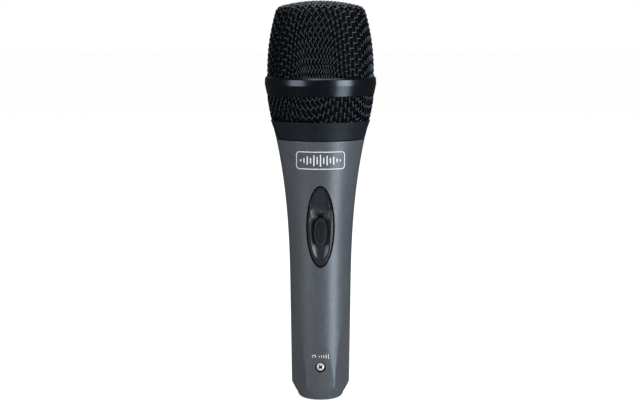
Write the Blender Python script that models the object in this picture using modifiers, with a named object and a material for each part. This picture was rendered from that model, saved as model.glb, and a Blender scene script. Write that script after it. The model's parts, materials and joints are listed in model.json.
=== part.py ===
"""A handheld dynamic vocal microphone, built as the separate pieces that it comes apart into.

The origin is the centre of the connector end's rim, +Z runs up the handle to the head,
and the switch and the retaining screw face -Y. Sizes below are in millimetres.
"""

import math

import bmesh
import bpy
from mathutils import Matrix, Vector

MM = 0.001
GAP = 0.3                    # clearance kept between pieces that touch on the real object

# Whole object
TOTAL_HEIGHT = 180.0
HEAD_RADIUS = 25.0
SEGMENTS = 32
SMALL_SEGMENTS = 20

# Handle: a slow taper, and above FLARE_Z a flare that grows faster and faster
BASE_RADIUS = 13.05
TAPER = 0.0137
FLARE_Z = 50.0
FLARE_TOP_Z = 117.5
FLARE_DEPTH = 5.02
FLARE_POWER = 2.58
END_Z = 6.6
SHOULDER_Z = 118.7
WALL = 2.4
LIP_RADIUS = 9.8
LIP_TOP_RADIUS = 10.5
LIP_HEIGHT = 1.9
LIP_FILLET = 0.75
NECK_RADIUS = 17.2
NECK_TOP_Z = 125.0
NECK_BORE_RADIUS = 15.0
FLAT_APOTHEM = 11.23         # centre of an anti-roll flat from the axis, at END_Z
CROWN_APOTHEM = 12.0         # the same for the crowned front and back
CROWN_RADIUS = 28.0
FLAT_SLOPE = 0.0658          # how fast the flats leave the axis going up
FLAT_TOP_Z = 55.0

# Cable connector in the handle's end
SOCKET_RADIUS = 8.15
INSERT_BOTTOM_Z = 13.3
INSERT_TOP_Z = 22.5
LEDGE_RADIUS = 7.2
LEDGE_TOP_Z = 24.5
PIN_RADIUS = 1.2
PIN_CIRCLE_RADIUS = 4.1
PIN_TIP_Z = 2.4
PIN_TOP_Z = 26.5
WIRE_RADIUS = 0.55
SCREW_Z = 16.1
SCREW_HEAD_RADIUS = 1.8
SCREW_SHANK_RADIUS = 1.1
SCREW_WELL_RADIUS = 2.4
SCREW_WELL_Y = -10.8

# Switch module in the front wall
PLATE_Z = 80.3
PLATE_HALF_WIDTH = 6.1
PLATE_HALF_HEIGHT = 18.3
PLATE_FLANGE = 1.1
PLATE_DEPTH = 3.6
PLATE_BODY_INSET = 1.3
PLATE_SINK = 0.25            # how far the plate lies under the handle's skin
DISH_CENTRE = (0.0, -15.2, 81.0)
DISH_SIZE = (4.9, 3.0, 15.8)
SLOT_WIDTH = 3.0
SLOT_Z = (75.5, 86.2)
KNOB_Z = 77.9
KNOB_HALF_WIDTH = 3.1
KNOB_HALF_HEIGHT = 6.6
KNOB_Y = (-15.0, -13.3)
SWITCH_TRAVEL = 5.0
BOARD_Y = (-4.2, -3.2)
BOARD_SCREW_Z = (68.4, 92.4)
BOARD_SCREW_RADIUS = 0.75

# Capsule, centred in the head
CHAMBER_RADIUS = 12.0
CHAMBER_Z = (108.2, 141.9)
BODY_RADIUS = 14.6
BODY_Z = (142.2, 158.0)
VENT_RADIUS = 5.0
CAP_RADIUS = 15.5
CAP_TOP_Z = 166.0
CAP_SKIRT_Z = 150.0
CAP_HOLES = 6
CAP_HOLE_RADIUS = 1.5
CAP_HOLE_CIRCLE = 7.0
TERMINAL_X = 3.2
TERMINAL_Z = 104.6
DIAPHRAGM_Z = 158.5          # underside of the diaphragm's edge
COIL_RADIUS = 6.85
COIL_HALF_WALL = 0.3
AIR_GAP = 0.35

# Head basket
COLLAR_BOTTOM_Z = 119.0
COLLAR_TOP_Z = 127.0
COLLAR_RADII = (20.0, 22.3)
COLLAR_BORE_RADIUS = 17.6
RING_Z = (138.1, 146.9)
MESH_THICKNESS = 1.0
SIDE_ARC_RADIUS = 86.0
SIDE_ARC_Z = 148.5
SIDE_RADIUS = 23.87
CROWN_ARC_RADIUS = 68.3
SHOULDER_FILLET = 4.0
LOWER_MESH_OUTLINE = ((23.5, 141.6), (23.5, 138.2), (23.3, 133.7), (22.5, 129.2), (21.6, 127.4),
                      (21.4, 125.7))
FOAM_THICKNESS = 3.2

LOOKS = {}
PARTS = None
CUTTERS = None


# ---------------------------------------------------------------- helpers

def clear_scene():
    for obj in list(bpy.data.objects):
        bpy.data.objects.remove(obj)


def make_collections():
    global PARTS, CUTTERS
    PARTS = bpy.data.collections.new("dynamic_microphone")
    CUTTERS = bpy.data.collections.new("cutters")
    for collection in (PARTS, CUTTERS):
        bpy.context.scene.collection.children.link(collection)


def look(name, colour, roughness, metallic=0.0):
    """A Principled material, remembered by its short name."""
    made = bpy.data.materials.new(name)
    made.use_nodes = True
    shader = made.node_tree.nodes["Principled BSDF"]
    shader.inputs["Base Color"].default_value = (*colour, 1.0)
    shader.inputs["Roughness"].default_value = roughness
    shader.inputs["Metallic"].default_value = metallic
    LOOKS[name] = made


def make_looks():
    look("handle_paint", (0.085, 0.09, 0.10), 0.38, 0.6)
    look("satin_black", (0.012, 0.013, 0.016), 0.32, 0.5)
    look("mesh_black", (0.015, 0.015, 0.017), 0.4, 0.6)
    look("foam", (0.02, 0.02, 0.022), 0.95)
    look("black_plastic", (0.018, 0.019, 0.021), 0.42)
    look("rubber", (0.02, 0.02, 0.02), 0.8)
    look("steel", (0.55, 0.55, 0.56), 0.3, 1.0)
    look("nickel_screw", (0.72, 0.66, 0.62), 0.25, 1.0)
    look("silver_pin", (0.75, 0.74, 0.70), 0.22, 1.0)
    look("brass", (0.78, 0.57, 0.25), 0.3, 1.0)
    look("copper", (0.80, 0.38, 0.20), 0.35, 1.0)
    look("magnet", (0.30, 0.30, 0.32), 0.3, 1.0)
    look("film", (0.80, 0.80, 0.76), 0.25)
    look("felt", (0.35, 0.34, 0.32), 0.95)
    look("board_green", (0.03, 0.16, 0.07), 0.45)
    look("wire_red", (0.45, 0.03, 0.03), 0.45)
    look("wire_black", (0.02, 0.02, 0.02), 0.45)
    look("wire_white", (0.75, 0.75, 0.72), 0.45)


def finish(obj, look_name, collection=None):
    """Puts an object in its collection. Without a look it is a cutter or another helper."""
    (collection or PARTS).objects.link(obj)
    if look_name:
        obj.data.materials.append(LOOKS[look_name])
    else:
        obj.hide_render = True
        obj.display_type = "WIRE"
    return obj


def mesh_object(name, shape, look_name):
    mesh = bpy.data.meshes.new(name)
    shape.to_mesh(mesh)
    shape.free()
    obj = bpy.data.objects.new(name, mesh)
    return finish(obj, look_name, PARTS if look_name else CUTTERS)


def smooth(obj, angle=35.0):
    obj.data.shade_smooth()
    obj.data.set_sharp_from_angle(angle=math.radians(angle))
    return obj


def turned(name, outline, look_name, segments=SEGMENTS, closed=True):
    """A turned shape. The outline holds (radius, z) points that run down the outer side.

    A closed outline is a ring's section; an open one starts and ends on the axis.
    """
    mesh = bpy.data.meshes.new(name)
    points = [(r * MM, 0.0, z * MM) for r, z in outline]
    edges = [(i, i + 1) for i in range(len(points) - 1)]
    if closed:
        edges.append((len(points) - 1, 0))
    mesh.from_pydata(points, edges, [])
    obj = finish(bpy.data.objects.new(name, mesh), look_name, PARTS if look_name else CUTTERS)
    screw = obj.modifiers.new("turn", "SCREW")
    screw.axis = "Z"
    screw.angle = 2 * math.pi
    screw.steps = segments
    screw.render_steps = segments
    screw.use_merge_vertices = True
    screw.merge_threshold = 0.00001
    screw.use_smooth_shade = True
    return obj


def block(name, low, high, look_name):
    """A box between two corners."""
    low, high = Vector(low), Vector(high)
    shape = bmesh.new()
    bmesh.ops.create_cube(shape, size=1.0)
    bmesh.ops.scale(shape, vec=(high - low) * MM, verts=shape.verts)
    bmesh.ops.translate(shape, vec=(high + low) / 2 * MM, verts=shape.verts)
    return mesh_object(name, shape, look_name)


def rod(name, start, end, radius, look_name, segments=SMALL_SEGMENTS, end_radius=None):
    """A round rod or a cone between two points."""
    start, end = Vector(start) * MM, Vector(end) * MM
    shape = bmesh.new()
    bmesh.ops.create_cone(
        shape, cap_ends=True, segments=segments, radius1=radius * MM,
        radius2=(radius if end_radius is None else end_radius) * MM, depth=(end - start).length,
    )
    turn = (end - start).to_track_quat("Z", "Y").to_matrix()
    bmesh.ops.rotate(shape, cent=(0, 0, 0), matrix=turn, verts=shape.verts)
    bmesh.ops.translate(shape, vec=(start + end) / 2, verts=shape.verts)
    obj = mesh_object(name, shape, look_name)
    return smooth(obj)


def oval(name, half_width, half_height, centre_z, y_range, look_name=None, segments=32):
    """An upright elliptical prism that runs along Y."""
    obj = rod(name, (0, y_range[0], 0), (0, y_range[1], 0), 1.0, look_name, segments)
    for vertex in obj.data.vertices:
        vertex.co.x *= half_width
        vertex.co.z = vertex.co.z * half_height + centre_z * MM
    return obj


def ball(name, centre, size, segments=24, rings=14):
    """A cutter: an ellipsoid with the given half sizes."""
    shape = bmesh.new()
    bmesh.ops.create_uvsphere(shape, u_segments=segments, v_segments=rings, radius=1.0)
    bmesh.ops.scale(shape, vec=Vector(size) * MM, verts=shape.verts)
    bmesh.ops.translate(shape, vec=Vector(centre) * MM, verts=shape.verts)
    return mesh_object(name, shape, None)


def combine(obj, other, operation):
    modifier = obj.modifiers.new(f"{operation.lower()}_{other.name}", "BOOLEAN")
    modifier.operation = operation
    modifier.object = other
    modifier.solver = "EXACT"
    return obj


def cut(obj, *cutters):
    for cutter in cutters:
        combine(obj, cutter, "DIFFERENCE")
    return obj


def arc(centre, radius, start_deg, end_deg, count):
    """Points on an arc in the (radius, z) plane, both ends included."""
    points = []
    for i in range(count + 1):
        angle = math.radians(start_deg + (end_deg - start_deg) * i / count)
        points.append((centre[0] + radius * math.cos(angle), centre[1] + radius * math.sin(angle)))
    return points


def circles_meet(centre_a, radius_a, centre_b, radius_b):
    """The crossing of two circles that lies furthest to the right."""
    ax, az = centre_a
    dx, dz = centre_b[0] - ax, centre_b[1] - az
    apart = math.hypot(dx, dz)
    along = (radius_a ** 2 - radius_b ** 2 + apart ** 2) / (2 * apart)
    across = math.sqrt(radius_a ** 2 - along ** 2)
    found = [
        (ax + (along * dx + side * across * dz) / apart,
         az + (along * dz - side * across * dx) / apart)
        for side in (1, -1)
    ]
    return max(found)


def smooth_route(points, per_span=4):
    """A Catmull-Rom curve through hand-chosen points, as a list of points."""
    padded = [points[0], *points, points[-1]]
    route = []
    for i in range(1, len(padded) - 2):
        a, b, c, d = (Vector(p) for p in padded[i - 1:i + 3])
        for step in range(per_span):
            t = step / per_span
            route.append(
                0.5 * (2 * b + (c - a) * t + (2 * a - 5 * b + 4 * c - d) * t ** 2
                       + (3 * b - a - 3 * c + d) * t ** 3)
            )
    route.append(Vector(points[-1]))
    return route


def wire(name, points, radius, look_name):
    """An insulated wire along a smooth route."""
    route = smooth_route(points)
    curve = bpy.data.curves.new(name, "CURVE")
    curve.dimensions = "3D"
    curve.bevel_depth = radius * MM
    curve.bevel_resolution = 2
    curve.use_fill_caps = True
    spline = curve.splines.new("POLY")
    spline.points.add(len(route) - 1)
    for point, place in zip(spline.points, route):
        point.co = (*(place * MM), 1.0)
    return finish(bpy.data.objects.new(name, curve), look_name)


# ---------------------------------------------------------------- handle

def handle_radius(z):
    """The handle's outer radius, before its flats are cut."""
    flare = max(0.0, z - FLARE_Z) / (FLARE_TOP_Z - FLARE_Z)
    return BASE_RADIUS + TAPER * z + FLARE_DEPTH * flare ** FLARE_POWER


def spread(low, high, count):
    return [low + (high - low) * i / count for i in range(count + 1)]


def skin(name, inner_depth, outer_depth, z_range):
    """A cutter: the layer between two depths under the handle's surface."""
    heights = spread(z_range[1], z_range[0], 7)
    outline = [(handle_radius(z) - outer_depth, z) for z in heights]
    outline += [(handle_radius(z) - inner_depth, z) for z in reversed(heights)]
    return turned(name, outline, None)


def flats_cutter():
    """What the anti-roll flats take off the handle's end.

    The section kept is a hexagon whose front and back sides are crowned. It widens going up
    until it leaves the round handle.
    """
    vertex = FLAT_APOTHEM / math.cos(math.radians(30))
    edge_x = vertex * math.sin(math.radians(30))
    crown = [(0.0, -CROWN_APOTHEM)]
    for i in range(1, 5):
        x = edge_x * i / 5
        sagitta = CROWN_RADIUS - math.sqrt(CROWN_RADIUS ** 2 - x ** 2)
        crown.append((x, -CROWN_APOTHEM + sagitta))
    right = [*crown, (edge_x, -vertex * math.cos(math.radians(30))), (vertex * 1.02, 0.0)]
    half = right + [(x, -y) for x, y in reversed(right[:-1])]
    outline = half + [(-x, y) for x, y in reversed(half[1:-1])]
    low_z, high_z = -5.0, FLAT_TOP_Z
    shape = bmesh.new()
    base = shape.faces.new([shape.verts.new((x * MM, y * MM, 0.0)) for x, y in outline])
    grown = bmesh.ops.extrude_face_region(shape, geom=[base])["geom"]
    top = [item for item in grown if isinstance(item, bmesh.types.BMVert)]
    for verts, z in (([v for v in shape.verts if v not in top], low_z), (top, high_z)):
        scale = 1 + FLAT_SLOPE * (z - END_Z) / FLAT_APOTHEM
        for vertex_ in verts:
            vertex_.co = (vertex_.co.x * scale, vertex_.co.y * scale, z * MM)
    bmesh.ops.recalc_face_normals(shape, faces=shape.faces)
    kept = mesh_object("flats_section", shape, None)
    around = rod("flats_cutter", (0, 0, low_z + 1), (0, 0, high_z - 1), 22.0, None, 48)
    return cut(around, kept)


def handle():
    outer = [(NECK_RADIUS - 0.4, NECK_TOP_Z), (NECK_RADIUS, NECK_TOP_Z - 0.4)]
    outer += [(NECK_RADIUS, SHOULDER_Z), (handle_radius(SHOULDER_Z) - 0.35, SHOULDER_Z)]
    outer += [(handle_radius(z), z) for z in spread(SHOULDER_Z - 0.35, FLARE_Z + 6, 8)]
    outer += [(handle_radius(END_Z), END_Z), (LIP_TOP_RADIUS, LIP_HEIGHT)]
    outer += arc((LIP_RADIUS - LIP_FILLET, LIP_FILLET), LIP_FILLET, 0, -90, 3)
    bore = [(SOCKET_RADIUS, 0.0), (SOCKET_RADIUS, INSERT_TOP_Z + GAP), (LEDGE_RADIUS, INSERT_TOP_Z + GAP)]
    bore += [(LEDGE_RADIUS, LEDGE_TOP_Z)]
    cavity = [(handle_radius(LEDGE_TOP_Z) - WALL, LEDGE_TOP_Z)]
    cavity += [(min(handle_radius(z) - WALL, NECK_BORE_RADIUS), z) for z in spread(FLARE_Z + 6, 106.0, 5)]
    cavity += [(NECK_BORE_RADIUS, NECK_TOP_Z)]
    shell = turned("handle_shell", outer + bore + cavity, "handle_paint")

    recess = oval("plate_recess", PLATE_HALF_WIDTH + GAP, PLATE_HALF_HEIGHT + GAP, PLATE_Z, (-30, -8))
    combine(recess, skin("recess_skin", PLATE_SINK + PLATE_FLANGE + GAP, -8.0, (55, 106)), "INTERSECT")
    window = oval(
        "plate_window", PLATE_HALF_WIDTH - PLATE_BODY_INSET + GAP,
        PLATE_HALF_HEIGHT - PLATE_BODY_INSET + GAP, PLATE_Z, (-30, -6),
    )
    well = rod("screw_well", (0, -20, SCREW_Z), (0, SCREW_WELL_Y, SCREW_Z), SCREW_WELL_RADIUS, None)
    screw_hole = rod("screw_hole", (0, -20, SCREW_Z), (0, -5, SCREW_Z), SCREW_SHANK_RADIUS + GAP, None)
    latch_notch = block("latch_notch", (-1.5, 7.0, -1.0), (1.5, 8.95, 9.0), None)
    return cut(shell, flats_cutter(), recess, window, well, screw_hole, latch_notch)


# ---------------------------------------------------------------- cable connector

def pin_places():
    """Pins 1 and 2 lie left and right of the key as seen from the mouth, pin 3 opposite it."""
    r = PIN_CIRCLE_RADIUS
    return {"xlr_pin_1": (r, 0.0), "xlr_pin_2": (-r, 0.0), "xlr_pin_3": (0.0, -r)}


def pin(name, place):
    tip = arc((0.0, PIN_TIP_Z + PIN_RADIUS), PIN_RADIUS, 0, -90, 3)
    outline = [(0.0, PIN_TOP_Z - 2.0), (0.7, PIN_TOP_Z - 2.0), (0.7, PIN_TOP_Z)]
    outline += [(PIN_RADIUS, PIN_TOP_Z), *tip]
    obj = turned(name, outline, "silver_pin", segments=16, closed=False)
    obj.location = (place[0] * MM, place[1] * MM, 0.0)
    return obj


def connector():
    for name, place in pin_places().items():
        pin(name, place)
    insert_radius = SOCKET_RADIUS - GAP
    insert = turned(
        "xlr_insert",
        [(0.0, INSERT_TOP_Z), (insert_radius - 0.4, INSERT_TOP_Z), (insert_radius, INSERT_TOP_Z - 0.4),
         (insert_radius, INSERT_BOTTOM_Z + 0.4), (insert_radius - 0.4, INSERT_BOTTOM_Z),
         (0.0, INSERT_BOTTOM_Z)],
        "black_plastic", segments=36, closed=False,
    )
    for name, (x, y) in pin_places().items():
        hole = rod(f"{name}_hole", (x, y, 5), (x, y, 30), PIN_RADIUS + GAP, None, 16)
        cut(insert, hole)
    thread_radius = SCREW_SHANK_RADIUS + GAP
    cut(insert, rod("insert_thread", (0, -12, SCREW_Z), (0, -6.2, SCREW_Z), thread_radius, None, 16))


def pan_screw(name, seat, direction, head_radius, head_height, shank_radius, shank_length, look_name):
    """A cross-head screw whose head lies on seat and whose shank runs against direction."""
    seat, direction = Vector(seat), Vector(direction).normalized()
    screw = rod(name, seat, seat + direction * head_height, head_radius, look_name, 20, head_radius * 0.8)
    shank_start = seat + direction * 0.2
    shank = rod(f"{name}_shank", shank_start, seat - direction * shank_length, shank_radius, None, 12)
    combine(screw, shank, "UNION")
    top = seat + direction * head_height
    reach = Vector((head_radius * 0.6, head_radius * 0.6, head_radius * 0.6))
    for axis in range(3):
        if abs(direction[axis]) > 0.5:
            continue
        half = Vector((head_radius * 0.16,) * 3)
        half[axis] = reach[axis]
        for along in range(3):
            if abs(direction[along]) > 0.5:
                half[along] = head_height * 0.5
        cut(screw, block(f"{name}_cross_{axis}", top - half, top + half, None))
    return screw


# ---------------------------------------------------------------- switch

def switch_plate():
    plate = oval(
        "switch_plate", PLATE_HALF_WIDTH, PLATE_HALF_HEIGHT, PLATE_Z, (-30, -8), "black_plastic",
    )
    flange = skin("flange_skin", PLATE_SINK + PLATE_FLANGE, PLATE_SINK, (56, 105))
    body = oval(
        "plate_body", PLATE_HALF_WIDTH - PLATE_BODY_INSET, PLATE_HALF_HEIGHT - PLATE_BODY_INSET,
        PLATE_Z, (-30, -8),
    )
    combine(body, skin("body_skin", PLATE_DEPTH, PLATE_SINK + 0.05, (57, 104)), "INTERSECT")
    combine(plate, flange, "INTERSECT")
    combine(plate, body, "UNION")
    for z in BOARD_SCREW_Z:
        back = -(handle_radius(z) - PLATE_DEPTH) - 0.5
        boss = rod(f"boss_{z:.0f}", (0, back, z), (0, BOARD_Y[0] - GAP, z), 2.0, None, 20)
        combine(plate, boss, "UNION")
        hole = rod(f"boss_hole_{z:.0f}", (0, -9.6, z), (0, 0, z), BOARD_SCREW_RADIUS + GAP, None, 12)
        cut(plate, hole)
    cut(plate, ball("dish", DISH_CENTRE, DISH_SIZE))
    slot = block("knob_slot", (-SLOT_WIDTH / 2, -16, SLOT_Z[0]), (SLOT_WIDTH / 2, -6, SLOT_Z[1]), None)
    return cut(plate, slot)


def switch_knob():
    knob = oval("switch_knob", KNOB_HALF_WIDTH, KNOB_HALF_HEIGHT, KNOB_Z, KNOB_Y, "black_plastic", 32)
    edge = knob.modifiers.new("rounded_edge", "BEVEL")
    edge.width = 0.45 * MM
    edge.segments = 2
    edge.limit_method = "ANGLE"
    stem = block("knob_stem", (-1.1, -13.6, KNOB_Z - 2.0), (1.1, -9.6, KNOB_Z + 2.0), None)
    combine(knob, stem, "UNION")
    fork = block("knob_fork", (-3.0, -11.2, KNOB_Z - 1.05), (3.0, -9.0, KNOB_Z + 1.05), None)
    return cut(knob, fork)


def slide_switch():
    """The small slide switch that the knob works, on its circuit board."""
    middle = KNOB_Z + SWITCH_TRAVEL / 2
    can = block("switch_can", (-3.2, -8.8, middle - 6.5), (3.2, -4.6, middle + 6.5), "steel")
    cut(can, block("can_hollow", (-2.6, -8.2, middle - 5.8), (2.6, -5.2, middle + 5.8), None))
    cut(can, block("can_window", (-1.2, -9.5, middle - 3.7), (1.2, -7.0, middle + 3.7), None))
    lever = block("switch_actuator", (-1.8, -7.9, KNOB_Z - 2.2), (1.8, -6.5, KNOB_Z + 2.2), "wire_white")
    post = block("actuator_post", (-0.75, -10.9, KNOB_Z - 0.75), (0.75, -7.5, KNOB_Z + 0.75), None)
    combine(lever, post, "UNION")
    block("switch_contact", (-1.5, -6.2, KNOB_Z - 1.8), (1.5, -5.7, KNOB_Z + 1.8), "brass")
    board = block("switch_board", (-4.0, BOARD_Y[0], 65.4), (4.0, BOARD_Y[1], 95.4), "board_green")
    for i, z in enumerate((middle - 4.0, middle, middle + 4.0), start=1):
        cut(board, rod(f"terminal_hole_{i}", (0, -6, z), (0, 0, z), 0.45 + GAP, None, 12))
        rod(f"switch_terminal_{i}", (0, -4.3, z), (0, -2.2, z), 0.45, "brass", 10)
    for name, z in zip(("board_screw_lower", "board_screw_upper"), BOARD_SCREW_Z):
        cut(board, rod(f"{name}_hole", (0, -6, z), (0, 0, z), BOARD_SCREW_RADIUS + GAP, None, 12))
        pan_screw(name, (0, BOARD_Y[1] + GAP, z), (0, 1, 0), 1.5, 0.9, BOARD_SCREW_RADIUS, 6.0, "steel")


# ---------------------------------------------------------------- capsule

def capsule_shells():
    low, high = CHAMBER_Z
    r = CHAMBER_RADIUS
    turned(
        "rear_chamber",
        [(0.0, low + 1.2), (r - 1.2, low + 1.2), (r - 1.2, high), (r, high), (r, low + 0.8), (r - 0.8, low),
         (0.0, low)],
        "black_plastic", closed=False,
    )
    low, high = BODY_Z
    r = BODY_RADIUS
    turned(
        "capsule_body",
        [(r - 1.1, high), (r, high), (r, low + 1.0), (r - 1.0, low), (VENT_RADIUS, low),
         (VENT_RADIUS, low + 1.1), (r - 1.1, low + 1.1)],
        "black_plastic",
    )
    r, top = CAP_RADIUS, CAP_TOP_Z
    cap = turned(
        "capsule_cap",
        [(0.0, top), (r - 1.8, top - 0.4), (r - 0.5, top - 1.2), (r, top - 2.6), (r, CAP_SKIRT_Z),
         (r - 0.6, CAP_SKIRT_Z), (r - 0.6, top - 2.6), (r - 1.2, top - 1.6), (0.0, top - 1.2)],
        "black_plastic", closed=False,
    )
    for i in range(CAP_HOLES + 1):
        angle = 2 * math.pi * i / CAP_HOLES
        reach = CAP_HOLE_CIRCLE if i < CAP_HOLES else 0.0
        x, y = reach * math.cos(angle), reach * math.sin(angle)
        cut(cap, rod(f"cap_hole_{i}", (x, y, top - 5), (x, y, top + 5), CAP_HOLE_RADIUS, None, 10))
    rod("cap_felt", (0, 0, top - 2.4), (0, 0, top - 1.8), 14.0, "felt", 28)
    board_top = CHAMBER_Z[0] - GAP
    rod("terminal_board", (0, 0, board_top - 1.3), (0, 0, board_top), 9.5, "board_green", 24)
    for name, x in (("terminal_hot", TERMINAL_X), ("terminal_cold", -TERMINAL_X)):
        rod(name, (x, 0, TERMINAL_Z), (x, 0, board_top - 1.3 - GAP), 0.8, "brass", 12)


def motor():
    """The magnet system, with the voice coil in its ring-shaped air gap."""
    inner = COIL_RADIUS - COIL_HALF_WALL - AIR_GAP
    outer = COIL_RADIUS + COIL_HALF_WALL + AIR_GAP
    turned(
        "yoke",
        [(0.0, 146.6), (11.4, 146.6), (11.4, 153.3), (13.2, 153.3), (13.2, 144.2), (12.6, 143.6), (0.0, 143.6)],
        "magnet", segments=32, closed=False,
    )
    turned("top_plate", [(outer, 156.4), (13.2, 156.4), (13.2, 153.6), (outer, 153.6)], "magnet", segments=32)
    rod("magnet", (0, 0, 146.9), (0, 0, 152.9), inner - 0.2, "steel")
    rod("pole_piece", (0, 0, 153.2), (0, 0, 156.4), inner, "magnet")
    coil_inner, coil_outer = COIL_RADIUS - COIL_HALF_WALL, COIL_RADIUS + COIL_HALF_WALL
    turned(
        "voice_coil",
        [(coil_inner, 158.2), (coil_outer, 158.2), (coil_outer, 154.2), (coil_inner, 154.2)],
        "copper", segments=32,
    )
    ring_z = BODY_Z[1] + GAP
    turned(
        "diaphragm_ring",
        [(12.4, ring_z + 1.0), (BODY_RADIUS, ring_z + 1.0), (BODY_RADIUS, ring_z), (12.4, ring_z)],
        "brass", segments=32,
    )
    film = 0.3
    dome = [(0.0, 3.1), (3.6, 2.5), (6.2, 0.7), (7.2, film), (8.6, 0.9), (10.2, 1.0), (12.1, film)]
    top = [(r, DIAPHRAGM_Z + rise) for r, rise in dome]
    under = [(r, z - film) for r, z in reversed(top)]
    turned("diaphragm", top + under, "film", segments=24, closed=False)


def isolator():
    """The rubber ring that floats the capsule in the handle's neck."""
    outer = NECK_BORE_RADIUS - GAP
    inner = CHAMBER_RADIUS + GAP
    rim = NECK_TOP_Z + GAP
    turned(
        "isolator",
        [(inner, rim + 1.5), (16.2, rim + 1.5), (16.6, rim + 1.1), (16.6, rim), (outer, rim),
         (outer, rim - 8.3), (inner, rim - 8.3)],
        "rubber",
    )


# ---------------------------------------------------------------- head basket

def upper_profile(inset, low_z):
    """The upper mesh's section offset inwards, from the axis at its top down to low_z."""
    side_centre = (SIDE_RADIUS - SIDE_ARC_RADIUS, SIDE_ARC_Z)
    crown_centre = (0.0, TOTAL_HEIGHT - CROWN_ARC_RADIUS)
    fillet = SHOULDER_FILLET
    centre = circles_meet(side_centre, SIDE_ARC_RADIUS - fillet, crown_centre, CROWN_ARC_RADIUS - fillet)
    crown_angle = math.degrees(math.atan2(centre[1] - crown_centre[1], centre[0]))
    side_angle = math.degrees(math.atan2(centre[1] - side_centre[1], centre[0] - side_centre[0]))
    points = [(0.0, TOTAL_HEIGHT - inset)]
    points += arc(crown_centre, CROWN_ARC_RADIUS - inset, 90, crown_angle, 2)[1:]
    points += arc(centre, fillet - min(inset, fillet - 0.4), crown_angle, side_angle, 3)[1:]
    points += arc(side_centre, SIDE_ARC_RADIUS - inset, side_angle, 0, 4)[1:]
    return points + [(SIDE_RADIUS - inset, low_z)]


def lower_profile(inset):
    """The lower mesh's section, from inside the ring down to inside the collar."""
    return [(r - inset, z) for r, z in LOWER_MESH_OUTLINE]


def mesh_shells():
    outer = upper_profile(0.0, 141.9)
    inner = upper_profile(MESH_THICKNESS, 141.9)
    turned("upper_mesh", outer + inner[::-1], "mesh_black", closed=False)
    outer = lower_profile(0.0)
    inner = lower_profile(MESH_THICKNESS)
    turned("lower_mesh", outer + inner[::-1], "mesh_black")


def basket_ring():
    low, high = RING_Z
    top_radius = 2.2
    shoulder = arc((HEAD_RADIUS - top_radius, high - top_radius - 0.6), top_radius, 62, 0, 3)
    outline = [(SIDE_RADIUS + GAP, high - 0.3), *shoulder]
    outline += [(HEAD_RADIUS - 0.15, 142.2), (24.35, low + 0.3), (24.15, low), (23.8, low)]
    outline += [(23.8, 141.6), (SIDE_RADIUS + GAP, 142.0)]
    turned("basket_ring", outline, "satin_black")


def basket_collar():
    low, high = COLLAR_BOTTOM_Z, COLLAR_TOP_Z
    bottom_radius, top_radius = COLLAR_RADII
    seat = 21.7
    outline = [(seat, high), (top_radius - 0.2, high), (top_radius, high - 0.25)]
    outline += [(21.0, 123.0), (bottom_radius, low + 0.3), (bottom_radius - 0.3, low)]
    outline += [(19.0, low), (19.0, low + 1.2), (COLLAR_BORE_RADIUS, low + 1.2)]
    outline += [(COLLAR_BORE_RADIUS, 125.4), (seat, 125.4)]
    turned("basket_collar", outline, "satin_black")
    turned(
        "neck_gasket",
        [(NECK_RADIUS + GAP, low + 0.9), (18.7, low + 0.9), (18.7, low), (NECK_RADIUS + GAP, low)],
        "rubber",
    )


def foam_liner():
    outset = MESH_THICKNESS + GAP
    outer = upper_profile(outset, 143.0)
    outer += [(r, z) for r, z in lower_profile(outset) if z < 142.0]
    inner = upper_profile(outset + FOAM_THICKNESS, 143.0)
    inner += [(r, z) for r, z in lower_profile(outset + FOAM_THICKNESS) if z < 142.0]
    turned("foam_liner", outer + inner[::-1], "foam", segments=24, closed=False)


# ---------------------------------------------------------------- wires

def wires():
    """Two from the capsule to the switch board, three from the switch board to the pins."""
    start_z = TERMINAL_Z - GAP
    top = TERMINAL_Z - GAP
    low = PIN_TOP_Z + GAP
    r = PIN_CIRCLE_RADIUS
    routes = {
        "capsule_wire_hot": [(TERMINAL_X, 0, top), (3.6, 0.7, 101.5), (3.4, 0.6, 98.2), (2.9, -0.9, 95.0),
                             (2.7, -2.2, 91.4)],
        "capsule_wire_cold": [(-TERMINAL_X, 0, top), (-3.7, 0.9, 101.0), (-3.3, 0.5, 97.6),
                              (-2.8, -0.9, 94.2), (-2.7, -2.2, 90.6)],
        "xlr_wire_1": [(r, 0, low), (4.4, 1.2, 34.0), (3.3, 2.6, 46.0), (2.8, 1.4, 58.0), (2.7, -2.2, 68.0)],
        "xlr_wire_2": [(-r, 0, low), (-4.4, 1.4, 35.0), (-3.1, 3.0, 47.0), (-2.8, 1.4, 59.0),
                       (-2.7, -2.2, 70.0)],
        "xlr_wire_3": [(0, -r, low), (0.4, -3.2, 36.0), (0.2, -0.4, 48.0), (0.0, 1.0, 60.0), (0.0, -1.6, 71.5)],
    }
    colours = ("wire_red", "wire_black", "wire_black", "wire_red", "wire_white")
    for (name, points), colour in zip(routes.items(), colours):
        wire(name, points, WIRE_RADIUS, colour)


# ---------------------------------------------------------------- moving pieces

def hang_on_axis(name, place, pieces):
    """Parents pieces to an empty on their joint's axis, and leaves them where they are."""
    empty = bpy.data.objects.new(name, None)
    PARTS.objects.link(empty)
    empty.location = Vector(place) * MM
    for piece in pieces:
        child = bpy.data.objects[piece]
        child.parent = empty
        child.matrix_parent_inverse = Matrix.Translation(-empty.location)


def joints():
    hang_on_axis("knob_slide_axis", (0.0, KNOB_Y[0], KNOB_Z),
                 ["switch_knob", "switch_actuator", "switch_contact"])
    hang_on_axis("thread_axis", (0.0, 0.0, COLLAR_BOTTOM_Z),
                 ["basket_collar", "lower_mesh", "basket_ring", "upper_mesh", "foam_liner", "neck_gasket"])
    hang_on_axis("diaphragm_axis", (0.0, 0.0, DIAPHRAGM_Z), ["diaphragm", "voice_coil"])


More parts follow.
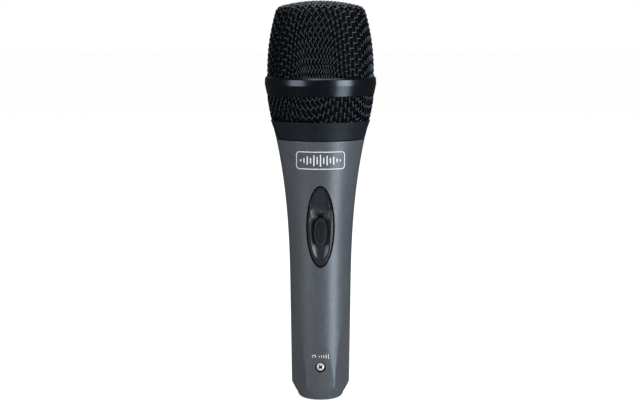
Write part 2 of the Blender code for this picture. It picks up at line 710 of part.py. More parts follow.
def build():
    clear_scene()
    make_collections()
    make_looks()
    handle()
    connector()
    pan_screw("insert_screw", (0, SCREW_WELL_Y - GAP, SCREW_Z), (0, -1, 0), SCREW_HEAD_RADIUS, 1.1,
              SCREW_SHANK_RADIUS, 4.3, "nickel_screw")
    switch_plate()
    switch_knob()
    slide_switch()
    capsule_shells()
    motor()
    isolator()
    mesh_shells()
    basket_ring()
    basket_collar()
    foam_liner()
    wires()
    joints()


build()
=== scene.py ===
"""Looks for the handheld dynamic microphone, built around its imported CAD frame.

Lengths are in millimetres until build_mesh() turns them into metres. The origin is the centre of the
connector end's rim, +Z runs up to the head, and the switch faces -Y. Azimuth 0 is the front, and it
grows towards +X.
"""

import json
from math import atan2, ceil, cos, degrees, hypot, pi, radians, sin, sqrt, tan

import bmesh
import bpy
import numpy as np
from mathutils import Matrix, Vector, noise


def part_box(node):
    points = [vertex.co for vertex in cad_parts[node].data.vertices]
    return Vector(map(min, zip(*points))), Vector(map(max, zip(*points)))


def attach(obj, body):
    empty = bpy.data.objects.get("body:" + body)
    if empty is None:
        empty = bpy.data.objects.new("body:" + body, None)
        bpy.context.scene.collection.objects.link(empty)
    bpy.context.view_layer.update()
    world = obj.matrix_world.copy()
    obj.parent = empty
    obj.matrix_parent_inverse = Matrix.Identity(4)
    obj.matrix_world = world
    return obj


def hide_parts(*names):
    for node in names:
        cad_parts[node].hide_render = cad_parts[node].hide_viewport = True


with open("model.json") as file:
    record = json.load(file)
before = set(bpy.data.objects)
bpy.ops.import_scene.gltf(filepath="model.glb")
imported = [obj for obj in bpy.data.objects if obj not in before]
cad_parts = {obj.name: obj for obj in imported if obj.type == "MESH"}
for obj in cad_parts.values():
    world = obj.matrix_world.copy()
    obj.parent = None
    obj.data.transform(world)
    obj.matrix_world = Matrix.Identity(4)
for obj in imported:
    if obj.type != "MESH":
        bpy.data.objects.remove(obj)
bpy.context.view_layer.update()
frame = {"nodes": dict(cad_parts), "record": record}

MM = 0.001
NODES = frame["nodes"]

# Handle
END_Z = 6.6
SHOULDER_Z = 118.7
LIP_HEIGHT = 1.9
LIP_TOP_RADIUS = 10.5
NECK_RADIUS = 17.2
NECK_TOP_Z = 125.0
NECK_BORE_RADIUS = 15.0
THREAD_PITCH = 1.0
THREAD_DEPTH = 0.25
THREAD_START = (119.6, 0.8)
THREAD_END = (124.5, 0.6)
TUBE_RADIUS = 13.05
TUBE_TAPER = 0.0137
FLARE_START = 50.0
FLARE_SPAN = 67.5
FLARE_GAIN = 5.02
FLARE_POWER = 2.58
WALL = 2.4
FLAT_APOTHEM = 11.23
FLAT_SLOPE = 0.0658
CROWN_APOTHEM = 12.0
CROWN_RADIUS = 28.0
EDGE_BLEND = 0.22
FLATS_END_Z = 70.0
SOCKET_RADIUS = 8.15
LEDGE_RADIUS = 7.2

# Switch
PLATE_Z = 80.3
PLATE_HALF = (6.1, 18.3)
PLATE_SINK = 0.4
PLATE_FLANGE = 1.1
PLATE_DEPTH = 3.6
PLATE_BODY_INSET = 1.3
BOSS_Z = (68.4, 92.4)
GAP = 0.3
DISH_CENTRE = (-14.75, 81.2)
DISH_SIZE = (4.9, 2.75, 17.0)
DISH_END_POWER = 4
RAMP_START = (-13.0, 89.3)
RAMP_SLOPE = 0.40
RAMP_BLEND = 1.2
RUN_OUT_START = 82.0
RUN_OUT_SPAN = 6.0
RUN_OUT_BLEND = 2.5
BRIM_BLEND = 0.5
GRAIN_CENTRE_Z = 86.8
GRAIN_RADIUS = 5.4
GRAIN_DEPTH = 0.30
KNOB_Z = 77.9
KNOB_HALF = (3.1, 6.6)
KNOB_Y = (-15.0, -13.3)
KNOB_DRAFT = 0.45
GRIP_PITCH = 0.95
GRIP_DEPTH = 0.30

# Retaining screw
SCREW_Z = 16.1
SCREW_SEAT_Y = -11.1
SCREW_HEAD = (1.84, 1.15)
SCREW_WELL = (2.4, -10.8)

# Head basket
TOTAL_HEIGHT = 180.0
SIDE_ARC_RADIUS = 95.0
SIDE_ARC_Z = 148.5
SIDE_RADIUS = 23.95
CROWN_ARC_RADIUS = 68.3
SHOULDER_FILLET = 4.0
COLLAR_BORE = 17.6
LOWER_MESH_OUTLINE = ((23.95, 141.6), (23.95, 138.4), (23.75, 135.6), (23.3, 132.9), (22.8, 130.2),
                      (22.4, 127.9), (21.6, 127.0), (21.4, 125.7))
WIRE_RADIUS = 0.31
WEAVE_CENTRE = 0.65
BUNCH_START = 16.0
BUNCH_SPAN = 28.0
DRIFT_BY_4 = 0.60
DRIFT_BY_8 = 0.32
WALL_START = 20.0
WALL_EASE = 4.0
WALL_STRETCH = 0.42
FOAM_OUTSET = 1.5
FOAM_THICKNESS = 3.2
PIT_DEPTH = 0.22


# ---- materials

class Recipe:
    """A Principled material in the making. Its methods add nodes and return their outputs."""

    def __init__(self, name):
        self.material = bpy.data.materials.new(name)
        self.material.use_nodes = True
        self.tree = self.material.node_tree
        self.shader = self.tree.nodes["Principled BSDF"]
        self.place = self.add("TexCoord").outputs["Object"]

    def feed(self, socket, value):
        """Links a socket to an output, or sets it to a number or a colour."""
        if isinstance(value, bpy.types.NodeSocket):
            self.tree.links.new(value, socket)
        elif isinstance(value, tuple):
            socket.default_value = (*value, 1.0)
        else:
            socket.default_value = value

    def add(self, kind, inputs=(), **settings):
        node = self.tree.nodes.new("ShaderNode" + kind)
        for key, value in settings.items():
            setattr(node, key, value)
        for key, value in dict(inputs).items():
            self.feed(node.inputs[key], value)
        return node

    def texture(self, kind, size_mm, inputs=(), **settings):
        """A texture node with features of about size_mm."""
        inputs = {"Vector": self.place, "Scale": 1.0 / (size_mm * MM), **dict(inputs)}
        return self.add("Tex" + kind, inputs, **settings).outputs

    def rock(self, size_mm, detail=3.0, roughness=0.55):
        """Fractal noise."""
        return self.texture("Noise", size_mm, {"Detail": detail, "Roughness": roughness})["Fac"]

    def bands(self, pitch_mm, axis="Z", inputs=()):
        """Parallel lines across one axis; a Wave texture repeats 20 times in its unit of scale."""
        return self.texture("Wave", 20 * pitch_mm, inputs, wave_type="BANDS", bands_direction=axis,
                            wave_profile="SIN")["Fac"]

    def between(self, value, low=0.0, high=1.0, span=(0.3, 0.7)):
        """Maps a texture's usual span to low..high."""
        return self.add("MapRange", {
            "Value": value, "From Min": span[0], "From Max": span[1], "To Min": low, "To Max": high,
        }).outputs["Result"]

    def blended(self, factor, first, second):
        """A mix of two colours; 0, 6 and 7 are the colour sockets of a Mix node."""
        return self.add("Mix", {0: factor, 6: first, 7: second}, data_type="RGBA").outputs[2]

    def bumped(self, height, distance_mm, strength=1.0, below=None):
        made = self.add("Bump", {"Height": height, "Distance": distance_mm * MM, "Strength": strength})
        if below is not None:
            self.feed(made.inputs["Normal"], below)
        return made.outputs["Normal"]

    def done(self, inputs):
        """Feeds the shader's own inputs and returns the material."""
        for key, value in inputs.items():
            self.feed(self.shader.inputs[key], value)
        return self.material


def shade(colour):
    """An sRGB colour given in 0..255 as linear values."""
    return tuple(((c / 255) / 12.92 if c <= 10 else (((c / 255) + 0.055) / 1.055) ** 2.4) for c in colour)


def scaled(colour, by):
    return tuple(min(1.0, c * by) for c in colour)


def paint(name, colour, spread, roughness, metallic=0.0, flake_mm=0.2, peel=0.012, gloss=0.5, painted_glint=0.5,
          tint=(1.0, 1.0, 1.0)):
    """Sprayed lacquer: fine flakes with their glints painted in as lighter colour, slow mottling, orange
    peel and an uneven sheen.
    """
    made = Recipe(name)
    flakes = made.texture("Voronoi", flake_mm)
    painted_glint_mask = made.add("SeparateColor", {"Color": flakes["Color"]}).outputs["Red"]
    mottle = made.between(made.rock(9.0, 2.0))
    body = made.blended(mottle, scaled(colour, 1 - spread), scaled(colour, 1 + spread))
    skin = made.bumped(made.rock(0.9, 2.0), peel, 0.6)
    return made.done({
        # Lighter flake cells in the base colour are painted glints.
        "Base Color": made.blended(made.between(painted_glint_mask, 0.0, painted_glint, (0.55, 1.0)), body, scaled(colour, 2.1)),
        "Roughness": made.between(made.rock(2.3, 4.0), roughness * 0.88, roughness * 1.14),
        "Metallic": metallic,
        "Normal": made.bumped(flakes["Distance"], 0.006, 0.35, skin),
        "Specular IOR Level": gloss,
        "Specular Tint": tint,
    })


def moulded(name, colour, spread, roughness, grain_mm=0.25, depth=0.02):
    """Moulded plastic or rubber: spark-eroded grain, faint flow marks, uneven sheen."""
    made = Recipe(name)
    grain = made.rock(grain_mm, 4.0, 0.6)
    flow = made.rock(6.0, 2.0)
    tone = made.add("Math", {0: grain, 1: flow}, operation="MULTIPLY").outputs[0]
    return made.done({
        "Base Color": made.blended(made.between(tone, 0.0, 1.0, (0.15, 0.4)),
                                   scaled(colour, 1 - spread), scaled(colour, 1 + spread)),
        "Roughness": made.between(flow, roughness * 0.88, roughness * 1.12),
        "Normal": made.bumped(grain, depth, 0.8),
    })


def bare_metal(name, colour, roughness, lines_mm=0.12, tarnish=0.15, axis="Z", metallic=1.0):
    """Machined or plated metal: tool lines across one axis and cloudy tarnish."""
    made = Recipe(name)
    lines = made.bands(lines_mm, axis, {"Distortion": 1.5, "Detail": 3.0, "Detail Scale": 4.0})
    cloud = made.rock(1.8, 4.0)
    return made.done({
        "Base Color": made.blended(made.between(cloud), scaled(colour, 1 - tarnish), colour),
        "Roughness": made.between(cloud, roughness * 1.3, roughness * 0.8),
        "Metallic": metallic,
        "Normal": made.bumped(lines, 0.01, 0.35),
    })


def foam_material():
    """Open-cell foam: pores painted dark as shade between lighter struts."""
    made = Recipe("foam_cells")
    cells = made.texture("Voronoi", 0.55, feature="DISTANCE_TO_EDGE")["Distance"]
    fuzz = made.rock(0.3, 5.0, 0.7)
    strut_and_pore_shade = made.between(cells, 1.0, 0.0, (0.0, 0.35))
    # Pores darker than the struts: painted shade in the cells.
    body = made.blended(strut_and_pore_shade, (0.002, 0.002, 0.0023), (0.011, 0.011, 0.012))
    return made.done({
        "Base Color": made.blended(made.between(fuzz, 0.0, 0.5), body, (0.0045, 0.0045, 0.005)),
        "Roughness": made.between(fuzz, 0.85, 1.0),
        "Specular IOR Level": 0.2,
        "Normal": made.bumped(fuzz, 0.05, 0.7, made.bumped(strut_and_pore_shade, 0.12, 0.9)),
    })


def board_material():
    """Green solder mask over a faint pattern of copper tracks."""
    made = Recipe("board_mask")
    tracks = made.texture("Brick", 2.5, {
        "Mortar Size": 0.03, "Mortar Smooth": 0.3, "Brick Width": 0.9, "Row Height": 0.5,
    })["Fac"]
    cloud = made.rock(1.2, 3.0)
    body = made.blended(made.between(cloud), (0.018, 0.11, 0.045), (0.03, 0.17, 0.07))
    return made.done({
        "Base Color": made.blended(tracks, body, (0.05, 0.26, 0.10)),
        "Roughness": made.between(cloud, 0.3, 0.45),
        "Normal": made.bumped(tracks, 0.03, 0.7),
    })


def winding_material():
    """Enamelled copper wire laid turn by turn, each turn painted lighter on its crown and darker between
    turns as painted light and shade.
    """
    made = Recipe("coil_winding")
    turns = made.bands(0.16)
    cloud = made.rock(1.0, 3.0)
    # Lighter crowns and darker bands between turns: painted light and shade.
    body = made.blended(turns, (0.30, 0.09, 0.035), (0.83, 0.38, 0.18))
    return made.done({
        "Base Color": made.blended(made.between(cloud, 0.0, 0.3), body, (0.55, 0.20, 0.09)),
        "Roughness": made.between(cloud, 0.22, 0.38),
        "Metallic": 1.0,
        "Normal": made.bumped(turns, 0.05, 1.0),
    })


def film_material():
    """Thin formed polyester film, faintly rippled."""
    made = Recipe("diaphragm_film")
    cloud = made.rock(2.5, 3.0)
    return made.done({
        "Base Color": made.blended(made.between(cloud), (0.62, 0.62, 0.56), (0.84, 0.84, 0.80)),
        "Roughness": made.between(cloud, 0.12, 0.28),
        "Transmission Weight": 0.35,
        "Normal": made.bumped(made.rock(0.7, 2.0), 0.03, 0.5),
    })


def make_looks():
    """Each finish, named for the record's slot where it has one of its own."""
    sheen = (0.74, 0.87, 1.0)
    return {
        "handle_paint": paint("handle_lacquer", shade((89, 94, 100)), 0.05, 0.39, 0.5, 0.16),
        "satin_black": paint("ring_lacquer", (0.0018, 0.0024, 0.0034), 0.12, 0.24, peel=0.006, gloss=0.7,
                             painted_glint=0.2, tint=sheen),
        "collar_black": paint("collar_lacquer", (0.006, 0.0078, 0.0112), 0.10, 0.50, peel=0.010,
                              gloss=0.38, painted_glint=0.4, tint=sheen),
        "mesh_black": paint("wire_lacquer", (0.0012, 0.0018, 0.0028), 0.15, 0.17, peel=0.004, gloss=0.56,
                            tint=sheen),
        "foam": foam_material(),
        "board_green": board_material(),
        "copper": winding_material(),
        "film": film_material(),
        # Near-black inside of the casting: its bare metal, and painted shade in the switch recess gap and
        # the screw well.
        "casting_inside": moulded("bare_casting_and_painted_shade", (0.006, 0.0062, 0.0066), 0.2, 0.55, 0.3),
        "ink": moulded("printed_ink", (0.62, 0.64, 0.66), 0.08, 0.5, 0.12, 0.006),
        "black_plastic": moulded("capsule_plastic", (0.014, 0.015, 0.016), 0.15, 0.42),
        "plate_plastic": moulded("plate_plastic", (0.0165, 0.0195, 0.025), 0.12, 0.26, 0.3, 0.008),
        "knob_plastic": moulded("knob_plastic", (0.0125, 0.0145, 0.018), 0.15, 0.38, 0.2, 0.012),
        "rubber": moulded("black_rubber", (0.014, 0.014, 0.0145), 0.2, 0.72, 0.18, 0.03),
        "felt": moulded("damping_felt", (0.30, 0.29, 0.27), 0.35, 0.95, 0.15, 0.09),
        "nylon": moulded("white_nylon", (0.72, 0.72, 0.69), 0.05, 0.45, 0.2, 0.015),
        "wire_red": moulded("red_insulation", (0.42, 0.028, 0.026), 0.12, 0.4, 0.3, 0.015),
        "wire_black": moulded("black_insulation", (0.018, 0.018, 0.019), 0.15, 0.4, 0.3, 0.015),
        "wire_white": moulded("white_insulation", (0.70, 0.70, 0.67), 0.06, 0.4, 0.3, 0.015),
        "steel": bare_metal("zinc_plate", (0.56, 0.56, 0.57), 0.3),
        "nickel_screw": bare_metal("nickel_plate", (0.86, 0.79, 0.76), 0.42, 0.1, 0.08, "X", 0.35),
        # Dark brownish metal for the screw's cross recess: painted shade in the recess.
        "screw_recess": bare_metal("recess_painted_shade", (0.045, 0.034, 0.031), 0.6, 0.1, 0.4, "X", 0.2),
        "silver_pin": bare_metal("silver_plate", (0.78, 0.77, 0.73), 0.2, 0.1, 0.12),
        "brass": bare_metal("machined_brass", (0.78, 0.57, 0.25), 0.28, 0.1, 0.18),
        "magnet": bare_metal("magnet_plate", (0.34, 0.34, 0.36), 0.28, 0.15, 0.2),
    }


# ---- mesh helpers

def placed(name, data):
    obj = bpy.data.objects.new(name, data)
    bpy.context.scene.collection.objects.link(obj)
    return obj


def bmesh_object(name, shape, mesh=None):
    mesh = mesh or bpy.data.meshes.new(name)
    shape.to_mesh(mesh)
    shape.free()
    return placed(name, mesh)


def build_mesh(name, verts, faces):
    """An object from vertices in millimetres, with its normals facing out."""
    mesh = bpy.data.meshes.new(name)
    mesh.from_pydata((np.asarray(verts, float) * MM).tolist(), [], [tuple(f) for f in faces])
    shape = bmesh.new()
    shape.from_mesh(mesh)
    bmesh.ops.recalc_face_normals(shape, faces=shape.faces)
    return bmesh_object(name, shape, mesh)


def dress(obj, look, body, *nodes, angle=35.0):
    """Gives a piece its material and its body, and hides the CAD nodes it stands for."""
    obj.data.materials.clear()
    obj.data.materials.append(LOOKS[look])
    obj.data.shade_smooth()
    obj.data.set_sharp_from_angle(angle=radians(angle))
    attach(obj, body)
    if nodes:
        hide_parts(*nodes)


def arc(centre, radius, start_deg, end_deg, count):
    """Points on an arc in the (radius, z) plane, both ends included."""
    angles = np.radians(np.linspace(start_deg, end_deg, count + 1))
    return [(centre[0] + radius * cos(a), centre[1] + radius * sin(a)) for a in angles]


def filleted(points, closed, steps):
    """An outline whose corners (r, z, fillet) are rounded; a plain (r, z) stays sharp."""
    made = []
    count = len(points)
    for i, point in enumerate(points):
        radius = point[2] if len(point) > 2 else 0.0
        if radius == 0 or (not closed and i in (0, count - 1)):
            made.append(point[:2])
            continue
        corner = Vector(point[:2])
        before = (Vector(points[i - 1][:2]) - corner).normalized()
        after = (Vector(points[(i + 1) % count][:2]) - corner).normalized()
        turn = before.angle(after)
        back = radius / tan(turn / 2)
        middle = corner + (before + after).normalized() * radius / sin(turn / 2)
        first, last = corner + before * back - middle, corner + after * back - middle
        swing = first.angle_signed(last)
        made += [tuple(middle + Matrix.Rotation(-swing * k / steps, 2) @ first) for k in range(steps + 1)]
    return made


def around(count):
    """Angles that divide a circle evenly."""
    return np.linspace(0, 2 * pi, count, endpoint=False)


def bridged(a, b):
    """Faces between two closed rings of corners. A ring of one corner makes a fan."""
    count = max(len(a), len(b))
    faces = []
    for i in range(count):
        j = (i + 1) % count
        corners = dict.fromkeys((a[i % len(a)], a[j % len(a)], b[j % len(b)], b[i % len(b)]))
        if len(corners) > 2:
            faces.append(tuple(corners))
    return faces


def skinned(name, rings, closed=False):
    """A surface through rings of points; a closed one joins its last ring to its first."""
    verts, spans, faces = [], [], []
    for ring in rings:
        spans.append(range(len(verts), len(verts) + len(ring)))
        verts.extend(ring)
    for a, b in zip(spans, spans[1:] + spans[:1] if closed else spans[1:]):
        faces += bridged(a, b)
    return build_mesh(name, verts, faces)


def turned(name, outline, segments=128, closed=True, radial=None, steps=5):
    """A turned shape. A closed outline is a ring's section; an open one starts and ends on the axis.

    The outline's points are those of filleted(). radial(azimuths, radius, z) can return changed radii
    for a ring of points; a radius of None is left to it altogether.
    """
    angles = around(segments)
    rings = []
    for r, z in filleted(outline, closed, steps):
        if r is not None and r < 1e-6:
            rings.append([(0.0, 0.0, z)])
            continue
        reach = np.zeros(segments) + (radial(angles, r, z) if radial else r)
        rings.append(list(zip(reach * np.sin(angles), -reach * np.cos(angles), np.full(segments, z))))
    return skinned(name, rings, closed)


def oval_block(name, levels, rings=1, segments=96):
    """Stacked upright ovals round PLATE_Z. levels holds (half width, half height, y function of x and z).

    The first and last level are closed by rings of points down to the oval's centre.
    """
    def ring(share, level):
        half_w, half_h, surface = level
        if share == 0:
            return [(0.0, surface(0.0, PLATE_Z), PLATE_Z)]
        spots = [(share * half_w * sin(a), PLATE_Z + share * half_h * cos(a)) for a in around(segments)]
        return [(x, surface(x, z), z) for x, z in spots]

    inner = [k / rings for k in range(rings)]
    shapes = [ring(share, levels[0]) for share in inner] + [ring(1.0, level) for level in levels]
    return skinned(name, shapes + [ring(share, levels[-1]) for share in reversed(inner)])


def box(name, low, high, round_mm=0.0):
    """A block between two corners, its edges rounded."""
    low, high = Vector(low) * MM, Vector(high) * MM
    shape = bmesh.new()
    bmesh.ops.create_cube(shape, size=1.0)
    bmesh.ops.scale(shape, vec=high - low, verts=shape.verts)
    bmesh.ops.translate(shape, vec=(high + low) / 2, verts=shape.verts)
    if round_mm:
        bmesh.ops.bevel(shape, geom=shape.edges, offset=round_mm * MM, segments=3, profile=0.5,
                        affect="EDGES", clamp_overlap=True)
    return bmesh_object(name, shape)


def rod(name, start, end, radius, segments=48):
    start, end = Vector(start) * MM, Vector(end) * MM
    shape = bmesh.new()
    bmesh.ops.create_cone(shape, cap_ends=True, segments=segments, radius1=radius * MM,
                          radius2=radius * MM, depth=(end - start).length)
    turn = (end - start).to_track_quat("Z", "Y").to_matrix()
    bmesh.ops.rotate(shape, cent=(0, 0, 0), matrix=turn, verts=shape.verts)
    bmesh.ops.translate(shape, vec=(start + end) / 2, verts=shape.verts)
    return bmesh_object(name, shape)


def carved(obj, *cutters, operation="DIFFERENCE"):
    """Applies the cutters to obj one by one and removes them."""
    for cutter in cutters:
        modifier = obj.modifiers.new("carve", "BOOLEAN")
        modifier.operation = operation
        modifier.object = cutter
        modifier.solver = "MANIFOLD"
    bpy.context.view_layer.update()
    seen = obj.evaluated_get(bpy.context.evaluated_depsgraph_get())
    mesh = bpy.data.meshes.new_from_object(seen)
    mesh.name = obj.name
    obj.modifiers.clear()
    obj.data = mesh
    for cutter in cutters:
        bpy.data.objects.remove(cutter)
    return obj


def soft_least(a, b, blend):
    """The lower of two values, rounded where they meet."""
    h = np.maximum(blend - np.abs(a - b), 0.0) / blend
    return np.minimum(a, b) - h * h * blend / 4


# ---- handle

def handle_radius(z):
    """The round handle's outer radius."""
    flare = max(0.0, z - FLARE_START) / FLARE_SPAN
    return TUBE_RADIUS + TUBE_TAPER * z + FLARE_GAIN * flare ** FLARE_POWER


def handle_reach(angles, z):
    """The handle's radius at each azimuth, with its anti-roll flats and its chamfered end."""
    grown = 1 + FLAT_SLOPE * (z - END_Z) / FLAT_APOTHEM
    vertex = FLAT_APOTHEM / cos(radians(30))
    corner = np.array([vertex / 2, FLAT_APOTHEM])
    side = np.array([vertex * 1.02, 0.0])
    along = (side - corner) / np.linalg.norm(side - corner)
    normal = np.array([-along[1], along[0]])
    apothem = normal @ side * grown
    tilt = atan2(normal[0], normal[1])
    slope = (handle_radius(END_Z) - LIP_TOP_RADIUS) / (END_Z - LIP_HEIGHT)
    chamfer = LIP_TOP_RADIUS + slope * (z - LIP_HEIGHT)
    reach = soft_least(handle_radius(max(z, END_Z)), chamfer, EDGE_BLEND) + 0 * angles
    if z > FLATS_END_Z:
        return reach
    for turn in (tilt, -tilt, pi - tilt, pi + tilt):
        lean = np.cos(angles - turn)
        plane = np.where(lean > 0.3, apothem / np.maximum(lean, 0.3), 99.0)
        reach = soft_least(reach, plane, EDGE_BLEND)
    centre = (CROWN_RADIUS - CROWN_APOTHEM) * grown
    radius = CROWN_RADIUS * grown
    for lean in (np.cos(angles), -np.cos(angles)):
        ahead = -lean * centre
        crown = ahead + np.sqrt(ahead ** 2 - centre ** 2 + radius ** 2)
        reach = soft_least(reach, np.where(lean > 0, crown, 99.0), EDGE_BLEND)
    return reach


def neck_thread(angles, r, z):
    """A rolled thread that fades out at both ends of the neck."""
    turns = z / THREAD_PITCH - angles / (2 * pi)
    wave = 0.5 + 0.5 * np.cos(2 * pi * turns)
    (start, run_in), (end, run_out) = THREAD_START, THREAD_END
    fade = min(1.0, max(0.0, (z - start) / run_in)) * min(1.0, max(0.0, (end - z) / run_out))
    return r - THREAD_DEPTH * fade * (1 - wave ** 1.3)


def handle_shell():
    """The die-cast handle, from the neck down the outside and back up through the bore."""
    top = handle_radius(SHOULDER_Z)
    outer = [(NECK_BORE_RADIUS + 0.3, NECK_TOP_Z), (NECK_RADIUS - 0.5, NECK_TOP_Z), (NECK_RADIUS, 124.55)]
    outer += [(NECK_RADIUS, z) for z in np.arange(124.4, 119.4, -0.125)]
    outer += [(NECK_RADIUS, 119.2), (NECK_RADIUS + 0.05, SHOULDER_Z + 0.05), (NECK_RADIUS + 0.2, SHOULDER_Z)]
    outer += arc((top - 0.2, SHOULDER_Z - 0.2), 0.2, 90, 0, 5)
    body = [(None, z) for z in np.arange(SHOULDER_Z - 1.2, 55.0, -1.1)]
    body += [(None, z) for z in np.arange(54.4, 8.0, -0.8)]
    body += [(None, z) for z in np.arange(7.8, LIP_HEIGHT + 0.05, -0.16)]
    lip = [(LIP_TOP_RADIUS, LIP_HEIGHT), (10.42, 1.7), (10.33, 1.35), (10.18, 1.0), (9.95, 0.68)]
    lip += [(9.68, 0.38), (9.35, 0.15), (8.95, 0.02), (8.75, 0.0)]
    bore = [(8.45, 0.0), (SOCKET_RADIUS + 0.08, 0.08), (SOCKET_RADIUS, 0.3), (SOCKET_RADIUS, 22.8)]
    bore += [(LEDGE_RADIUS, 22.8), (LEDGE_RADIUS, 24.5)]
    cavity = [(handle_radius(24.5) - WALL, 24.5)]
    cavity += [(min(handle_radius(z) - WALL, NECK_BORE_RADIUS), z) for z in np.linspace(56, 106, 8)]
    cavity += [(NECK_BORE_RADIUS, NECK_TOP_Z - 0.3)]

    def radial(angles, r, z):
        if r is None:
            return handle_reach(angles, z)
        if r == NECK_RADIUS:
            return neck_thread(angles, r, z)
        return r

    shell = turned("handle_casting", outer + body + lip + bore + cavity, 240, True, radial)
    back = handle_skin(PLATE_SINK + PLATE_FLANGE + GAP)
    half = [size + GAP for size in PLATE_HALF]
    recess = oval_block("recess", [(*half, lambda x, z: -30.0), (*half, back)], 12, 160)
    half = [size + GAP - PLATE_BODY_INSET for size in PLATE_HALF]
    window = oval_block("window", [(*half, lambda x, z, y=y: y) for y in (-31.0, -6.0)], 1, 120)
    well = rod("well", (0, -20, SCREW_Z), (0, SCREW_WELL[1], SCREW_Z), SCREW_WELL[0], 72)
    hole = rod("hole", (0, -20, SCREW_Z), (0, -5, SCREW_Z), 1.4, 40)
    notch = box("notch", (-1.5, 7.0, -1.0), (1.5, 8.95, 9.0), 0.2)
    carved(shell, recess, window, well, hole, notch)
    dress(shell, "handle_paint", "handle", "handle_shell", angle=28)
    # Faces below the painted skin take the near-black inside material: bare casting, and painted shade in
    # the recess gap and screw well.
    shell.data.materials.append(LOOKS["casting_inside"])
    for face in shell.data.polygons:
        x, y, z = face.center / MM
        out = hypot(x, y)
        reach = float(handle_reach(np.array([atan2(x, -y)]), z)[0])
        painted = out > reach - 0.12 or (z < 2.0 and out > SOCKET_RADIUS + 0.05)
        face.material_index = 0 if painted and z < SHOULDER_Z - 0.2 else 1


def handle_skin(depth):
    """The surface that lies depth under the round handle, as y of x and z."""
    return lambda x, z: -sqrt(max((handle_radius(z) - depth) ** 2 - x * x, 0.01))


# ---- printed marks

def print_shape(name, polygons):
    """Thin ink shapes laid on the front of the handle. Each polygon is a list of (x, z)."""
    verts, faces = [], []
    for polygon in polygons:
        for lift in (0.035, -0.02):
            start = len(verts)
            for x, z in polygon:
                reach = float(handle_reach(np.array([x / 13.0]), z)[0]) if z < 55 else handle_radius(z)
                verts.append((x, -sqrt((reach + lift) ** 2 - x * x), z))
            faces.append(tuple(range(start, len(verts))))
        faces += bridged(faces[-2], faces[-1])
    mark = build_mesh(name, verts, faces)
    dress(mark, "ink", "handle", angle=60)


def split_long(points, longest=0.8):
    """The same closed outline with points added along its long sides."""
    made = []
    for i, (x, z) in enumerate(points):
        nx, nz = points[(i + 1) % len(points)]
        steps = max(1, ceil(hypot(nx - x, nz - z) / longest))
        made += [(x + (nx - x) * k / steps, z + (nz - z) * k / steps) for k in range(steps)]
    return made


def pill(x, z, half_width, half_height, steps=8):
    """An upright bar with round ends."""
    points = []
    for turn in range(2):
        for k in range(steps + 1):
            a = pi * (k / steps + turn)
            points.append((x + half_width * cos(a),
                           z + half_width * sin(a) + (half_height - half_width) * (1 - 2 * turn)))
    return points


def printed_marks():
    """Two generic marks: a framed row of sound bars, and a small pickup-pattern pictogram."""
    centre, middle = 110.2, 21.1
    corner, straight = 1.5, (9.25, 2.5)

    def frame_outline(shrink):
        points = []
        for quarter, (sx, sz) in enumerate(((1, 1), (-1, 1), (-1, -1), (1, -1))):
            for k in range(9):
                a = pi / 2 * (quarter + k / 8)
                points.append((sx * straight[0] + (corner - shrink) * cos(a),
                               centre + sz * straight[1] + (corner - shrink) * sin(a)))
        return split_long(points)

    def lobe(size):
        reach = [(size * (1 + cos(a)), a) for a in around(40)]
        return [(-2.9 + r * sin(a), middle - 0.52 + r * cos(a)) for r, a in reach]

    shapes = bridged(frame_outline(0.0), frame_outline(0.38))
    heights = (0.5, 1.1, 1.9, 1.3, 2.5, 1.7, 2.7, 1.4, 2.2, 1.2, 1.8, 0.9, 0.5)
    for i, height in enumerate(heights):
        shapes.append(pill(1.45 * (i - (len(heights) - 1) / 2), centre, 0.27, height))
    print_shape("sound_bars_print", shapes)

    shapes = bridged(lobe(0.66), lobe(0.66 * 0.72))
    for i in range(5):
        shapes.append(pill(-0.6 + 1.05 * i, middle, 0.16, 0.35 + 0.2 * i))
    print_shape("pickup_pattern_print", shapes)


# ---- woven head

def circles_meet(centre_a, radius_a, centre_b, radius_b):
    """The crossing of two circles that lies furthest to the right."""
    (ax, az), (bx, bz) = centre_a, centre_b
    apart = hypot(bx - ax, bz - az)
    dx, dz = (bx - ax) / apart, (bz - az) / apart
    along = (radius_a ** 2 - radius_b ** 2 + apart ** 2) / (2 * apart)
    across = sqrt(radius_a ** 2 - along ** 2)
    return max((ax + along * dx + side * dz, az + along * dz - side * dx) for side in (across, -across))


def upper_profile(inset, low_z, steps=(24, 12, 30)):
    """The upper mesh's section offset inwards, from the axis at its top down to low_z."""
    side_centre = (SIDE_RADIUS - SIDE_ARC_RADIUS, SIDE_ARC_Z)
    crown_centre = (0.0, TOTAL_HEIGHT - CROWN_ARC_RADIUS)
    fillet = SHOULDER_FILLET
    centre = circles_meet(side_centre, SIDE_ARC_RADIUS - fillet, crown_centre, CROWN_ARC_RADIUS - fillet)
    crown_angle = degrees(atan2(centre[1] - crown_centre[1], centre[0]))
    side_angle = degrees(atan2(centre[1] - side_centre[1], centre[0] - side_centre[0]))
    points = [(0.0, TOTAL_HEIGHT - inset)]
    points += arc(crown_centre, CROWN_ARC_RADIUS - inset, 90, crown_angle, steps[0])[1:]
    points += arc(centre, fillet - min(inset, fillet - 0.4), crown_angle, side_angle, steps[1])[1:]
    points += arc(side_centre, SIDE_ARC_RADIUS - inset, side_angle, 0, steps[2])[1:]
    return points + [(SIDE_RADIUS - inset, low_z)]


